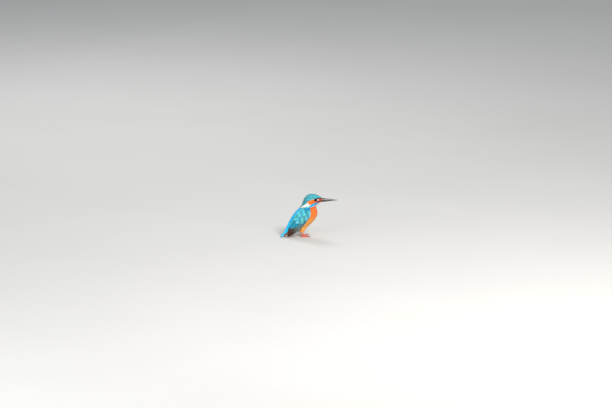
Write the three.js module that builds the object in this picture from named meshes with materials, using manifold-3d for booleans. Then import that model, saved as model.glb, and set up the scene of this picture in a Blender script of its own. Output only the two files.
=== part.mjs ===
// A common kingfisher standing on level ground with its wings folded, life size.
// Millimetres. +X is the way the bird faces, +Y its left side, +Z up.
// The origin is on the ground, under the middle of its length.
import * as THREE from "three";
import { LoftGeometry } from "three/addons/geometries/LoftGeometry.js";
import { mergeVertices } from "three/addons/utils/BufferGeometryUtils.js";
import Module from "manifold-3d";

const wasm = await Module();
wasm.setup();

const GAP = 0.3; // between pieces that meet
const FULL_TURN = 2 * Math.PI;
const FINE = 1e-4; // small enough to be nothing

// Head, neck and trunk are one form, given by chords of its side view from the bill's root, over the
// crown and down to the tail's root: [x, z on the back, x, z on the underside, half the width].
const FORM = {
  billRoot: [31.8, 87.6, 29.0, 78.9, 4.3],
  lores: [25.0, 92.6, 25.6, 77.0, 7.3],
  eye: [17.0, 96.8, 22.2, 74.8, 9.8],
  crown: [8.0, 98.8, 19.4, 72.4, 11.7],
  hindCrown: [-1.2, 97.2, 17.6, 70.6, 12.8],
  nape: [-8.2, 92.2, 16.6, 69.4, 13.4],
  hindNeck: [-12.8, 83.6, 16.6, 68.2, 14.0],
  neckRoot: [-16.0, 74.6, 17.8, 65.2, 15.6],
  mantle: [-20.6, 67.6, 19.8, 58.2, 17.6],
  breast: [-27.0, 61.8, 19.6, 50.0, 19.0],
  back: [-34.0, 54.0, 15.6, 41.8, 19.4],
  belly: [-40.0, 45.6, 8.6, 32.8, 18.4],
  flank: [-44.6, 37.6, 0.2, 24.6, 16.0],
  rump: [-48.6, 30.2, -10.4, 16.6, 12.8],
  vent: [-51.6, 23.8, -24.0, 11.2, 9.2],
  coverts: [-55.2, 16.6, -41.0, 8.4, 6.4],
  tailRoot: [-58.6, 10.6, -53.0, 6.6, 4.2],
};
const FORM_RINGS = 36;
const FORM_SIDES = 26;
const SQUARENESS = 2.2; // of the cross-sections: 2 is an ellipse
const HEAD_END = 0.5; // share of the way from the hind neck's chord to the neck root's
const NECK_END = 0.6; // the same, from the mantle's chord to the breast's

// point: size of the tip as a share of the root; swell: how far the ridges bow out of the straight.
const BILL = {
  tip: [67.5, 81.9],
  rootWidth: 8.2,
  point: 0.07,
  swell: 0.22,
  fullness: 0.8,
  rings: 12,
  sides: 14,
};
const COMMISSURE = 82.7; // height of the line between the mandibles at the root

const EYE = { x: 13.3, z: 86.3, radius: 3.8, bulge: 1.5 }; // bulge: how far it stands out of the head

// The folded wing in its own plane: a along it from the bend to the tip, b across it towards the back.
const WING = { bend: [0, 62], tip: [-50.5, 2.9], rings: 22, across: 11 };
const WING_OUTLINE = [
  // share of the length, lower edge, upper edge, half width of the folded pair, thickness
  [0.0, -1.4, 1.8, 19.8, 2.2],
  [0.05, -4.8, 6.0, 20.8, 2.9],
  [0.16, -8.0, 11.6, 22.2, 3.5],
  [0.33, -9.4, 15.0, 22.5, 3.6],
  [0.5, -8.8, 15.2, 20.6, 3.2],
  [0.66, -7.3, 14.2, 17.6, 2.7],
  [0.8, -5.6, 11.6, 14.8, 2.2],
  [0.92, -3.8, 6.6, 12.2, 1.6],
  [1.0, -1.4, 1.6, 10.6, 1.0],
];
const WING_REACH = 25; // from the folded wing's middle to where its round would meet its fellow
const WING_MIDDLE = -1.5;
const WING_EDGE = 0.45; // thickness of its edges, as a share of the middle's
const WING_BODY = 0.6; // how quickly it thickens from its edges inward: less is quicker

// The tail: a shallow roof of vanes from under the coverts to the ground.
const TAIL = {
  root: [-45.4, 27.0],
  tip: [-68.0, -0.6],
  rootHalf: 5.0,
  tipHalf: 9.6,
  thick: 1.8,
  roof: 1.6,
  rings: 9,
  columns: 9,
};

// The leg: a feathered thigh down to the hock, and a short bare shank from there to the ankle.
const LEG = { y: 8.2, hock: [-18.2, 10.4], ankle: [-12.8, 2.2], thin: 1.25, thick: 1.7, splay: 6 };
const THIGH = {
  top: [-13.4, 24.0],
  foot: [-18.0, 9.8],
  topRadius: 7.4,
  middleRadius: 5.3,
  footRadius: 2.3,
  sag: [1.6, 2.4], // how far its middle lies behind and below the straight line
  rings: 9,
  sides: 16,
};
const SHANK = { top: 1.5, bottom: 0.8, rings: 6, sides: 10 }; // how far below the hock and ankle its ends lie
const PAD = 1.25; // radius of a toe
const PAD_RISE = 0.85; // height of a toe's middle, so that its sole is cut flat by the ground
const DIGIT = { sides: 8, rings: 7, end: 0.86 }; // end: radius at the claw, as a share of the toe's
const CLAW = { sides: 6, rings: 6, overlap: 0.5 };
const TOES = [
  // degrees from straight ahead towards the outer side, length without the claw, claw's length
  [-26, 7.4, 3.0],
  [1, 12.4, 3.6],
  [15, 11.0, 3.2],
  [-176, 5.6, 3.4],
];

const plain = (color, roughness) => new THREE.MeshStandardMaterial({ color, roughness, metalness: 0 });
const MATERIALS = {
  crown: plain(0x1f8f9c, 0.7),
  neck: plain(0xf4f0e6, 0.8),
  trunk: plain(0xf08a3c, 0.8),
  wing: plain(0x1fa0b4, 0.6),
  tail: plain(0x1787d0, 0.5),
  bill: plain(0x16161a, 0.35),
  eye: plain(0x1a0f0a, 0.05),
  foot: plain(0xe0442c, 0.5),
};

// A closed surface as a solid, for joining and cutting.
function solid(geometry) {
  const shell = new THREE.BufferGeometry().setAttribute("position", geometry.getAttribute("position"));
  const merged = mergeVertices(shell.setIndex(geometry.index), FINE);
  const made = new wasm.Mesh({
    numProp: 3,
    vertProperties: merged.getAttribute("position").array,
    triVerts: new Uint32Array(merged.index.array),
  });
  return new wasm.Manifold(made);
}

const middleOf = (ring) => ring.reduce((sum, p) => sum.add(p), new THREE.Vector3()).divideScalar(ring.length);

// A closed solid through rings of points, which may run round either way.
function loft(rings) {
  const along = middleOf(rings[1]).sub(middleOf(rings[0]));
  const turn = new THREE.Vector3();
  rings[0].forEach((p, i) => turn.add(p.clone().cross(rings[0][(i + 1) % rings[0].length])));
  const sections = turn.dot(along) > 0 ? rings : rings.map((ring) => ring.toReversed());
  return solid(new LoftGeometry(sections, { capStart: true, capEnd: true }));
}

function geometryOf(made) {
  const { vertProperties, triVerts, numProp } = made.getMesh();
  const position = new THREE.BufferAttribute(new Float32Array(vertProperties), numProp);
  const geometry = new THREE.BufferGeometry().setAttribute("position", position);
  geometry.setIndex(new THREE.BufferAttribute(new Uint32Array(triVerts), 1));
  geometry.computeVertexNormals();
  return geometry;
}

// A smooth function of a share from 0 to 1, through rows of numbers set evenly apart.
function through(rows) {
  const curves = rows[0].map((_, column) => {
    const points = rows.map((row) => new THREE.Vector3(row[column], 0, 0));
    return new THREE.CatmullRomCurve3(points, false, "catmullrom", 0.5);
  });
  return (share) => curves.map((curve) => curve.getPoint(share).x);
}

// The same through rows whose first number is the share they stand at.
function throughShares(rows) {
  const evenly = through(rows);
  const shareOf = (n) => {
    let next = rows.findIndex((row) => row[0] >= n);
    next = Math.min(Math.max(next, 1), rows.length - 1);
    const [before, after] = [rows[next - 1][0], rows[next][0]];
    return (next - 1 + (n - before) / (after - before)) / (rows.length - 1);
  };
  return (n) => evenly(Math.min(shareOf(n), 1));
}

const formAt = through(Object.values(FORM));
const placeOf = (name) => Object.keys(FORM).indexOf(name) / (Object.keys(FORM).length - 1);
const STATION = 1 / (Object.keys(FORM).length - 1);

const TANGENT_STEP = 0.02; // share of a curve over which its direction is taken

const power = (n) => Math.sign(n) * Math.abs(n) ** (2 / SQUARENESS);

// One ring of the form, swollen by grow on every side.
function formRing(share, grow) {
  const [backX, backZ, underX, underZ, half] = formAt(share);
  const middle = new THREE.Vector3((backX + underX) / 2, 0, (backZ + underZ) / 2);
  const rise = new THREE.Vector3((backX - underX) / 2, 0, (backZ - underZ) / 2);
  rise.setLength(rise.length() + grow);
  return Array.from({ length: FORM_SIDES }, (_, i) => {
    const angle = (i / FORM_SIDES) * FULL_TURN;
    const point = middle.clone().addScaledVector(rise, power(Math.cos(angle)));
    point.y = (half + grow) * power(Math.sin(angle));
    return point;
  });
}

function form(grow = 0) {
  return loft(Array.from({ length: FORM_RINGS }, (_, i) => formRing(i / (FORM_RINGS - 1), grow)));
}

// The plane of a ring: its normal points down the body, and its offset is measured along that.
function ringPlane(share) {
  const [backX, backZ, underX, underZ] = formAt(share);
  const rise = new THREE.Vector3(backX - underX, 0, backZ - underZ).normalize();
  const normal = new THREE.Vector3(-rise.z, 0, rise.x);
  return { normal, offset: normal.dot(new THREE.Vector3(backX, 0, backZ)) };
}

const beyond = (made, plane) => made.trimByPlane(plane.normal.toArray(), plane.offset + GAP / 2);
const before = (made, plane) =>
  made.trimByPlane(plane.normal.clone().negate().toArray(), -plane.offset + GAP / 2);

// A round limb along a curve, given by rows of [x, y, z, radius]; side is square to the curve.
function limb(rows, side, rings, sides) {
  const at = through(rows);
  const sections = Array.from({ length: rings }, (_, i) => {
    const share = i / (rings - 1);
    const [x, y, z, radius] = at(share);
    const ahead = new THREE.Vector3(...at(Math.min(share + TANGENT_STEP, 1)).slice(0, 3));
    const behind = new THREE.Vector3(...at(Math.max(share - TANGENT_STEP, 0)).slice(0, 3));
    const along = ahead.sub(behind).normalize();
    const over = new THREE.Vector3().crossVectors(along, side).normalize();
    const across = new THREE.Vector3().crossVectors(over, along);
    return Array.from({ length: sides }, (_, j) => {
      const angle = (j / sides) * FULL_TURN;
      return new THREE.Vector3(x, y, z)
        .addScaledVector(across, radius * Math.cos(angle))
        .addScaledVector(over, radius * Math.sin(angle));
    });
  });
  return loft(sections);
}

// One mandible: a half round from edge to edge, with a flat face towards its fellow.
function mandible(up) {
  const root = ringPlane(0);
  const lip = COMMISSURE + (up * GAP) / 2;
  const depth = up > 0 ? FORM.billRoot[1] - lip : lip - FORM.billRoot[3];
  const sections = Array.from({ length: BILL.rings }, (_, i) => {
    const share = i / (BILL.rings - 1);
    const taper = THREE.MathUtils.lerp(1, BILL.point, share);
    const swell = 1 + BILL.swell * Math.sin(Math.PI * share) * (1 - share);
    return Array.from({ length: BILL.sides }, (_, j) => {
      const angle = (j / (BILL.sides - 1)) * Math.PI;
      const y = (BILL.rootWidth / 2) * taper * Math.cos(angle);
      const height = up * depth * taper * swell * Math.sin(angle) ** BILL.fullness;
      const z = THREE.MathUtils.lerp(lip, BILL.tip[1] + (up * GAP) / 2, share) + height;
      // The root follows the head's cut; the rest runs straight to the tip.
      const rootX = (root.offset - root.normal.z * z) / root.normal.x + GAP;
      return new THREE.Vector3(THREE.MathUtils.lerp(rootX, BILL.tip[0], share), y, z);
    });
  });
  return loft(sections);
}

// Half the form's width at a place in its side view.
function widthAt(x, z) {
  const spot = new THREE.Vector3(x, 0, z);
  const distance = (share) => {
    const { normal, offset } = ringPlane(share);
    return normal.dot(spot) - offset;
  };
  let [low, high] = [0, placeOf("neckRoot")];
  while (high - low > FINE) {
    const middle = (low + high) / 2;
    if (distance(middle) > 0) low = middle;
    else high = middle;
  }
  const [backX, backZ, underX, underZ, half] = formAt(low);
  const centre = new THREE.Vector3((backX + underX) / 2, 0, (backZ + underZ) / 2);
  const reach = Math.hypot(backX - underX, backZ - underZ) / 2;
  return half * (1 - (spot.distanceTo(centre) / reach) ** SQUARENESS) ** (1 / SQUARENESS);
}

function eyeball(side, grow = 0) {
  const ball = new THREE.SphereGeometry(EYE.radius + grow, 16, 10);
  const out = widthAt(EYE.x, EYE.z) + EYE.bulge - EYE.radius;
  ball.translate(EYE.x, side * out, EYE.z);
  return solid(ball);
}

function wing(cutter) {
  const along = new THREE.Vector3(WING.tip[0] - WING.bend[0], 0, WING.tip[1] - WING.bend[1]);
  const length = along.length();
  along.normalize();
  const across = new THREE.Vector3(along.z, 0, -along.x);
  const at = throughShares(WING_OUTLINE);
  const sections = Array.from({ length: WING.rings }, (_, i) => {
    const share = (1 - Math.cos((Math.PI * i) / (WING.rings - 1))) / 2;
    const [, low, high, half, thick] = at(share);
    const point = (t, depth) => {
      const b = THREE.MathUtils.lerp(low, high, t);
      const round = Math.sqrt(1 - ((b - WING_MIDDLE) / WING_REACH) ** 2);
      const edge = THREE.MathUtils.lerp(WING_EDGE, 1, Math.sin(Math.PI * t) ** WING_BODY);
      return new THREE.Vector3(WING.bend[0], half * round - depth * thick * edge, WING.bend[1])
        .addScaledVector(along, share * length)
        .addScaledVector(across, b);
    };
    const outer = Array.from({ length: WING.across }, (_, j) => point(j / (WING.across - 1), 0));
    const inner = Array.from({ length: WING.across }, (_, j) => point(1 - j / (WING.across - 1), 1));
    return [...outer, ...inner];
  });
  return loft(sections).subtract(cutter);
}

function tail(cutter) {
  const along = new THREE.Vector3(TAIL.tip[0] - TAIL.root[0], 0, TAIL.tip[1] - TAIL.root[1]);
  const length = along.length();
  along.normalize();
  const up = new THREE.Vector3(along.z, 0, -along.x);
  const sections = Array.from({ length: TAIL.rings }, (_, i) => {
    const share = i / (TAIL.rings - 1);
    const half = THREE.MathUtils.lerp(TAIL.rootHalf, TAIL.tipHalf, share);
    const point = (t, depth) => {
      const fall = TAIL.roof * t * t + depth * TAIL.thick;
      return new THREE.Vector3(TAIL.root[0], half * t, TAIL.root[1])
        .addScaledVector(along, share * length)
        .addScaledVector(up, -fall);
    };
    const column = (j) => (2 * j) / (TAIL.columns - 1) - 1;
    const top = Array.from({ length: TAIL.columns }, (_, j) => point(column(j), 0));
    const under = Array.from({ length: TAIL.columns }, (_, j) => point(-column(j), 1));
    return [...top, ...under];
  });
  return aboveGround(loft(sections).subtract(cutter));
}

const aboveGround = (made) => made.trimByPlane([0, 0, 1], 0);

const SIDEWAYS = new THREE.Vector3(0, 1, 0);

// The feathered thigh, swollen by grow.
function thigh(grow = 0) {
  const [topX, topZ] = THIGH.top;
  const [footX, footZ] = THIGH.foot;
  const rows = [
    [topX, LEG.y, topZ, THIGH.topRadius + grow],
    [(topX + footX) / 2 - THIGH.sag[0], LEG.y, (topZ + footZ) / 2 - THIGH.sag[1], THIGH.middleRadius + grow],
    [footX, LEG.y, footZ - grow, THIGH.footRadius + grow],
  ];
  return limb(rows, SIDEWAYS, THIGH.rings, THIGH.sides);
}

function toe([turn, length, clawLength]) {
  const bearing = THREE.MathUtils.degToRad(turn + LEG.splay);
  const heading = new THREE.Vector3(Math.cos(bearing), Math.sin(bearing), 0);
  const side = new THREE.Vector3(-Math.sin(bearing), Math.cos(bearing), 0);
  const [ankleX] = LEG.ankle;
  const row = (reach, z, radius) => [ankleX + heading.x * reach, LEG.y + heading.y * reach, z, radius];
  const pads = [row(0, 1.6, PAD), row(length * 0.35, PAD_RISE + 0.1, PAD), row(length * 0.7, PAD_RISE, PAD)];
  const digit = limb([...pads, row(length, PAD_RISE, PAD * DIGIT.end)], side, DIGIT.rings, DIGIT.sides);
  const hook = [
    row(length - CLAW.overlap, 1.1, 0.78),
    row(length + clawLength * 0.5, 1.35, 0.6),
    row(length + clawLength * 0.85, 0.8, 0.4),
    row(length + clawLength, 0.35, 0.26),
  ];
  return digit.add(limb(hook, side, CLAW.rings, CLAW.sides));
}

function foot() {
  const [hockX, hockZ] = LEG.hock;
  const [ankleX, ankleZ] = LEG.ankle;
  const rows = [
    [hockX, LEG.y, hockZ - SHANK.top, LEG.thick],
    [(hockX + ankleX) / 2, LEG.y, (hockZ + ankleZ) / 2, LEG.thin],
    [ankleX, LEG.y, ankleZ - SHANK.bottom, LEG.thick],
  ];
  const shank = limb(rows, SIDEWAYS, SHANK.rings, SHANK.sides);
  return aboveGround(TOES.reduce((made, row) => made.add(toe(row)), shank)).subtract(thigh(GAP));
}

const bird = new THREE.Group();

function addMesh(name, geometry, material) {
  const mesh = new THREE.Mesh(geometry, material);
  mesh.name = name;
  bird.add(mesh);
  return mesh;
}

// The left piece, and its mirror image on the right.
function addPair(name, made, material) {
  const geometry = geometryOf(made);
  addMesh(`${name}_left`, geometry, material);
  addMesh(`${name}_right`, geometry, material).scale.y = -1;
}

const wholeForm = form();
const cutter = form(GAP);
const headCut = ringPlane(placeOf("hindNeck") + HEAD_END * STATION);
const neckCut = ringPlane(placeOf("mantle") + NECK_END * STATION);
const sockets = eyeball(1, GAP).add(eyeball(-1, GAP));

addMesh("head", geometryOf(before(wholeForm, headCut).subtract(sockets)), MATERIALS.crown);
addMesh("neck", geometryOf(before(beyond(wholeForm, headCut), neckCut)), MATERIALS.neck);
addMesh("trunk", geometryOf(beyond(wholeForm, neckCut)), MATERIALS.trunk);
addMesh("bill_upper", geometryOf(mandible(1)), MATERIALS.bill);
addMesh("bill_lower", geometryOf(mandible(-1)), MATERIALS.bill);
addPair("eye", eyeball(1), MATERIALS.eye);
addPair("wing", wing(cutter), MATERIALS.wing);
addMesh("tail", geometryOf(tail(cutter)), MATERIALS.tail);
addPair("thigh", thigh().subtract(cutter), MATERIALS.trunk);
addPair("foot", foot(), MATERIALS.foot);

export default bird;
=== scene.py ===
"""A common kingfisher standing on level ground with its wings folded, feather by feather, life size."""

import math

import bpy
import numpy as np
from mathutils import Matrix, Vector
from mathutils.kdtree import KDTree


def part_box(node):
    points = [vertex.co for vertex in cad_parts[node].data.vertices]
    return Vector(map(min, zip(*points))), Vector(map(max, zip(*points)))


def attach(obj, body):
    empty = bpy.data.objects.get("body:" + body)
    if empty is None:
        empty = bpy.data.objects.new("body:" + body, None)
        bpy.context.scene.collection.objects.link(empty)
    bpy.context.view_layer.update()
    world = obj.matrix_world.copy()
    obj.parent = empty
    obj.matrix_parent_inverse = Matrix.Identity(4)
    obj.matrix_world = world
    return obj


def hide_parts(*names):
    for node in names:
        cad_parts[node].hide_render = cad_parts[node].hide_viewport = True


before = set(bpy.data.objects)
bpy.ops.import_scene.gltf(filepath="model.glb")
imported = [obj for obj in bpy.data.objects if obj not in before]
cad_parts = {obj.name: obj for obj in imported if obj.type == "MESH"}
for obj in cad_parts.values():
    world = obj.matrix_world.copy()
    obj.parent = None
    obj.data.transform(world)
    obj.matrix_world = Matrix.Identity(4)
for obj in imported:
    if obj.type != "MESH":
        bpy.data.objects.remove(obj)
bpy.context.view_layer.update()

# ---------------------------------------------------------------------------------- the hide
# Under its coat the bird is one thin hide over head, neck, trunk and thighs. Its form is lofted
# through chords of the side view, from the bill's root over the crown to the tail's root, and the
# hide lies as deep below the bird's outline as the coat is thick there.
MM = 0.001  # everything below is worked out in millimetres, and set down in metres
BODY_CHORDS = [
    # x and z on the back, x and z on the underside, half the width
    [31.8, 87.6, 29.0, 78.9, 4.3],  # bill's root
    [25.0, 92.6, 25.6, 77.0, 7.3],  # lores
    [17.0, 96.8, 22.2, 74.8, 9.8],  # eye
    [8.0, 98.8, 19.4, 72.4, 11.7],  # crown
    [-1.2, 97.2, 17.6, 70.6, 12.8],  # hind crown
    [-8.2, 92.2, 16.6, 69.4, 13.4],  # nape
    [-12.8, 83.6, 16.6, 68.2, 14.0],  # hind neck
    [-16.0, 74.6, 17.8, 65.2, 15.6],  # neck's root
    [-20.6, 67.6, 19.8, 58.2, 17.6],  # mantle
    [-27.0, 61.8, 19.6, 50.0, 19.0],  # breast
    [-34.0, 54.0, 15.6, 41.8, 19.4],  # back
    [-40.0, 45.6, 8.6, 32.8, 18.4],  # belly
    [-44.6, 37.6, 0.2, 24.6, 16.0],  # flank
    [-48.6, 30.2, -10.4, 16.6, 12.8],  # rump
    [-51.6, 23.8, -24.0, 11.2, 9.2],  # vent
    [-55.2, 16.6, -41.0, 8.4, 6.4],  # tail coverts
    [-58.6, 10.6, -53.0, 6.6, 4.2],  # tail's root
]
SQUARENESS = 2.2  # of the body's cross-sections: 2 is an ellipse
COAT_DEPTH = [[depth] for depth in (0.5, 0.6, 0.8, 1.2, 1.4, 1.5, 1.6, 1.7, 1.8, 2.0, 2.0, 2.0, 2.0)]
HIDE_RINGS = 240
HIDE_SIDES = 180
RING_CROWDING = 1.15  # above 1 the rings lie closer together towards the bill
THIGH = [
    # x, y and z of its middle line and its radius, from inside the flank to the hock
    [-11.2, 5.6, 29.0, 1.4],
    [-13.2, 6.8, 24.4, 6.0],
    [-15.6, 7.6, 18.8, 6.5],
    [-17.3, 8.2, 14.2, 5.0],
    [-18.0, 8.2, 9.8, 2.3],
]
THIGH_THINNEST = 0.4  # radius beyond the ends of that line
THIGH_STEP = 0.02  # share of the line over which its direction is taken
THIGH_DEPTH = 1.1
THIGH_RINGS = 60
THIGH_SIDES = 48
EYE_LOOKS = (0.26, 1.0, 0.07)  # ahead, outward and up
EYE_OPENING = 2.75  # half the width between the lids
SOCKET_DEPTH = 2.4  # how deep the hide sinks under the lids
LID_STEPS = 108
LID_SECTION_STEPS = 30
LID_FOLDED = [
    # distance from the middle of the eye, height above the ball's centre, round the fold of the lid
    [4.4, 0.0], [4.0, 0.4], [3.6, 0.9], [3.32, 1.5], [3.14, 2.15], [2.99, 2.62], [2.85, 2.74], [2.73, 2.60],
    [2.82, 2.2], [3.05, 1.3], [3.5, 0.2], [4.1, -0.4], [4.4, -0.1],
]
LID_RIM, LID_FOLDS = 2.86, 3.7  # where on it the beads and the fine folds lie
LID_BEADS, LID_FOLD_COUNT = 17, 23
# Shares of the hide's map: the body lowest, then the thighs, then the lids, the left ones on its right.
BODY_MAP_TOP = 0.86
THIGH_MAP = (0.88, 0.96)
LID_MAP = (0.97, 0.998)
MAP_HALVES = {1: (0.52, 0.98), -1: (0.02, 0.48)}
FULL_TURN = 2 * math.pi


def through_rows(rows, share):
    """Rows of numbers set evenly apart, read smoothly at shares from 0 to 1 and straight on past them."""
    rows = np.asarray(rows, float)
    padded = np.vstack([2 * rows[0] - rows[1], rows, 2 * rows[-1] - rows[-2]])
    spans = len(rows) - 1
    share = np.asarray(share, float)
    held = np.clip(share, 0, 1)
    first = np.minimum((held * spans).astype(int), spans - 1)
    t = (held * spans - first)[..., None]
    a, b, c, d = (padded[first + k] for k in range(4))
    square, cube = 2 * a - 5 * b + 4 * c - d, 3 * b - a - 3 * c + d
    value = b + 0.5 * t * ((c - a) + t * (square + t * cube))
    slope = 0.5 * ((c - a) + t * (2 * square + 3 * t * cube))
    return value + slope * ((share - held) * spans)[..., None]


def body_sheet(u, turn):
    """The coated body's outline: u from bill to tail, turn from the back round the left side."""
    back_x, back_z, under_x, under_z, half = np.moveaxis(through_rows(BODY_CHORDS, u), -1, 0)
    up, out = np.cos(turn), np.sin(turn)
    swell = (np.abs(up) ** SQUARENESS + np.abs(out) ** SQUARENESS) ** (-1 / SQUARENESS)
    x = (back_x + under_x) / 2 + (back_x - under_x) / 2 * swell * up
    z = (back_z + under_z) / 2 + (back_z - under_z) / 2 * swell * up
    return np.stack([x, half * swell * out, z], -1)


def thigh_sheet(down, turn):
    """The outline of the left thigh's coat, from inside the flank down to the hock."""
    line = through_rows(THIGH, down)
    middle, radius = line[..., :3], np.maximum(line[..., 3:], THIGH_THINNEST)
    before, beyond = (through_rows(THIGH, down + step)[..., :3] for step in (-THIGH_STEP, THIGH_STEP))
    along = unit(beyond - before)
    ahead = unit(np.cross(along, [0.0, 1.0, 0.0]))
    sideways = np.cross(ahead, along)
    return middle + radius * (sideways * np.cos(turn)[..., None] + ahead * np.sin(turn)[..., None])


def unit(v):
    """Vectors brought to length 1."""
    return v / np.maximum(np.linalg.norm(v, axis=-1, keepdims=True), 1e-9)


def dot(a, b):
    """How far vectors run along each other, kept as a last axis of one."""
    return (a * b).sum(-1, keepdims=True)


def sheet_axes(sheet, p, q, step=1e-3):
    """A point of a sheet, how it moves with p and with q, and the way out of the sheet there."""
    point = sheet(p, q)
    with_p = (sheet(p + step, q) - point) / step
    with_q = (sheet(p, q + step) - point) / step
    return point, with_p, with_q, unit(np.cross(with_q, with_p))


def smooth(low, high, value):
    """0 where a value is at low or beyond it, 1 at high, and eased between them."""
    t = np.clip((value - low) / (high - low), 0, 1)
    return t * t * (3 - 2 * t)


def paint(red, green, blue):
    """A colour as a painter mixes it, 0 to 255, in the linear light that the finishes work in."""
    level = np.array([red, green, blue], float) / 255
    return np.where(level <= 0.04045, level / 12.92, ((level + 0.055) / 1.055) ** 2.4)


eye_low, eye_high = (np.array(corner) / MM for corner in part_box("eye_left"))
EYE_CENTRE = (eye_low + eye_high) / 2
EYE_RADIUS = float((eye_high - eye_low)[1] / 2)


def eye_axes(side):
    """The way forward and the way up across the eye, and the way that the eye looks."""
    facing = unit(np.array(EYE_LOOKS) * (1, side, 1))
    straight_up = np.array([0, 0, 1.0])
    upright = unit(straight_up - dot(straight_up, facing) * facing)
    return -side * np.cross(facing, upright), upright, facing


def off_eye(points, side):
    """How far points lie from the eye's axis, and how far along it from the ball's centre."""
    away = points - EYE_CENTRE * (1, side, 1)
    facing = eye_axes(side)[2]
    along = dot(away, facing)
    return np.linalg.norm(away - along * facing, axis=-1), along[..., 0]


# The plumage, by tract: each has its ground colour, the colour of its feathers' tips and how strongly
# that shows, the length and width of a feather, the distance between rows and along a row, and how far
# the tips stand off.
TRACTS = {
    "cap": (paint(0, 84, 106), paint(104, 230, 242), 0.95, 4.2, 2.0, 1.3, 1.25, 0.10),
    "lore": (paint(206, 60, 10), paint(244, 118, 36), 0.4, 2.2, 1.0, 0.8, 0.72, 0.06),
    "spot": (paint(255, 222, 194), paint(255, 244, 230), 0.6, 2.0, 0.95, 0.75, 0.68, 0.08),
    "gape": (paint(26, 14, 14), paint(80, 26, 16), 0.3, 1.9, 0.9, 0.75, 0.68, 0.04),
    "ear": (paint(232, 100, 12), paint(248, 142, 40), 0.45, 4.6, 1.8, 1.2, 1.05, 0.16),
    "malar": (paint(0, 138, 218), paint(0, 190, 244), 0.85, 3.6, 1.8, 1.15, 1.1, 0.10),
    "patch": (paint(246, 240, 226), paint(255, 253, 246), 0.5, 5.2, 2.1, 1.4, 1.25, 0.22),
    "throat": (paint(246, 222, 196), paint(255, 242, 226), 0.5, 3.8, 1.8, 1.2, 1.1, 0.16),
    "breast": (paint(240, 104, 26), paint(252, 144, 60), 0.5, 7.4, 3.0, 1.8, 1.55, 0.18),
    "belly": (paint(252, 152, 44), paint(255, 194, 110), 0.5, 8.6, 3.4, 2.15, 1.85, 0.22),
    "vent": (paint(220, 88, 24), paint(246, 134, 56), 0.5, 8.8, 3.4, 2.15, 1.8, 0.22),
    "back": (paint(0, 158, 222), paint(36, 206, 250), 0.75, 7.4, 3.0, 1.8, 1.55, 0.22),
    "scapular": (paint(0, 128, 148), paint(124, 228, 238), 0.8, 9.0, 3.8, 2.2, 1.9, 0.20),
}
TRACT_NAMES = list(TRACTS)
# Edges, stripes' middle lines and their half widths, as x and z of the side view.
CAP_EDGE = [
    (-20.5, 67.5), (-15.9, 72.8), (-10.8, 76.8), (-6.6, 80.2), (-4.6, 84.0), (0.6, 86.1), (5.6, 87.0),
    (9.2, 88.0), (13.3, 89.0), (16.6, 89.4), (20.6, 89.6), (27.1, 89.2), (33.0, 87.9),
]
PATCH_EDGE = [(-20.5, 67.2), (-15.0, 70.2), (-8.5, 72.2), (-2.1, 73.0), (4.0, 73.0)]
MALAR_LINE = [(22.6, 79.5), (18.3, 78.5), (12.3, 76.5), (6.5, 74.8), (1.4, 72.8)]
MALAR_HALF = [0.8, 1.7, 2.8, 2.8, 2.4]
SHOULDER_LINE = [(-3.2, 66.4), (-8.0, 66.4)]
SHOULDER_HALF = [2.3, 2.7]
GAPE_LINE = [(30.0, 82.2), (22.0, 82.2), (16.5, 83.6)]
GAPE_HALF = [0.9, 0.8, 0.55]
# a dark line from the bill's root to the eye's front top: painted shadow under the cap's edge
BROW_SHADOW_LINE = [(30.6, 86.6), (26.4, 88.4), (21.0, 88.9), (16.4, 88.6)]
BROW_SHADOW_HALF = [0.8, 0.75, 0.7, 0.6]
# a painted shadow along the gap between the blue spot and the wing
SHOULDER_SHADOW_LINE = [(-2.0, 63.4), (-8.0, 63.4), (-13.5, 65.4)]
SHOULDER_SHADOW_HALF = [0.9, 1.1, 0.9]
SPOT_LINE = [(18.7, 85.3), (20.9, 86.0)]
SPOT_HALF = [1.55, 1.3]
THROAT_EDGE = [(-6.0, 70.0), (2.0, 71.0), (9.0, 71.8), (16.0, 72.8), (24.0, 73.0)]
EAR_BACK = [(-6.5, 83.5), (0.6, 75.5)]
LORE_FROM, LORE_ABOVE, CHIN_FROM = 15.5, 80.3, 22.0
PATCH_ENDS, SHOULDER_ENDS = 4.0, 0.4
# Shares of the way from the bill to the tail's root, where tracts end or begin.
FACE_ENDS, THROAT_ENDS, NECK_ENDS, SHOULDER_BACK = 0.47, 0.46, 0.50, 0.55
BELLY_FROM, RUMP_FROM, VENT_FROM = 0.62, 0.80, 0.84
BACK_BAND = [[0.0, 9.5], [0.45, 9.0], [0.5, 9.4], [0.6, 9.8], [0.75, 9.0], [0.86, 9.2], [1.0, 9.0]]
# Turns down from the middle of the back, where pi is the middle of the belly, and half widths.
NAPE_DOWN, PATCH_FROM, MALAR_DOWN, THROAT_FROM = 1.2, 0.3, 2.75, 1.3
SHOULDER_DOWN, BREAST_FROM, BACK_DOWN, FLANK_DOWN = 1.75, 1.25, 1.6, 1.45
NAPE_HALF, FOREHEAD_HALF = 5.0, 3.2


def line_height(line, x):
    """How high a line of the side view lies at x."""
    ordered = sorted(line)
    return np.interp(x, [p[0] for p in ordered], [p[1] for p in ordered])


def within_stripe(line, halves, x, z):
    """Where a point of the side view lies in a stripe along a line, whose half width changes on the way."""
    found = np.zeros(x.shape, bool)
    for (x0, z0), (x1, z1), h0, h1 in zip(line, line[1:], halves, halves[1:]):
        t = np.clip(((x - x0) * (x1 - x0) + (z - z0) * (z1 - z0)) / ((x1 - x0) ** 2 + (z1 - z0) ** 2), 0, 1)
        found |= np.hypot(x - x0 - t * (x1 - x0), z - z0 - t * (z1 - z0)) < h0 + t * (h1 - h0)
    return found


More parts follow.
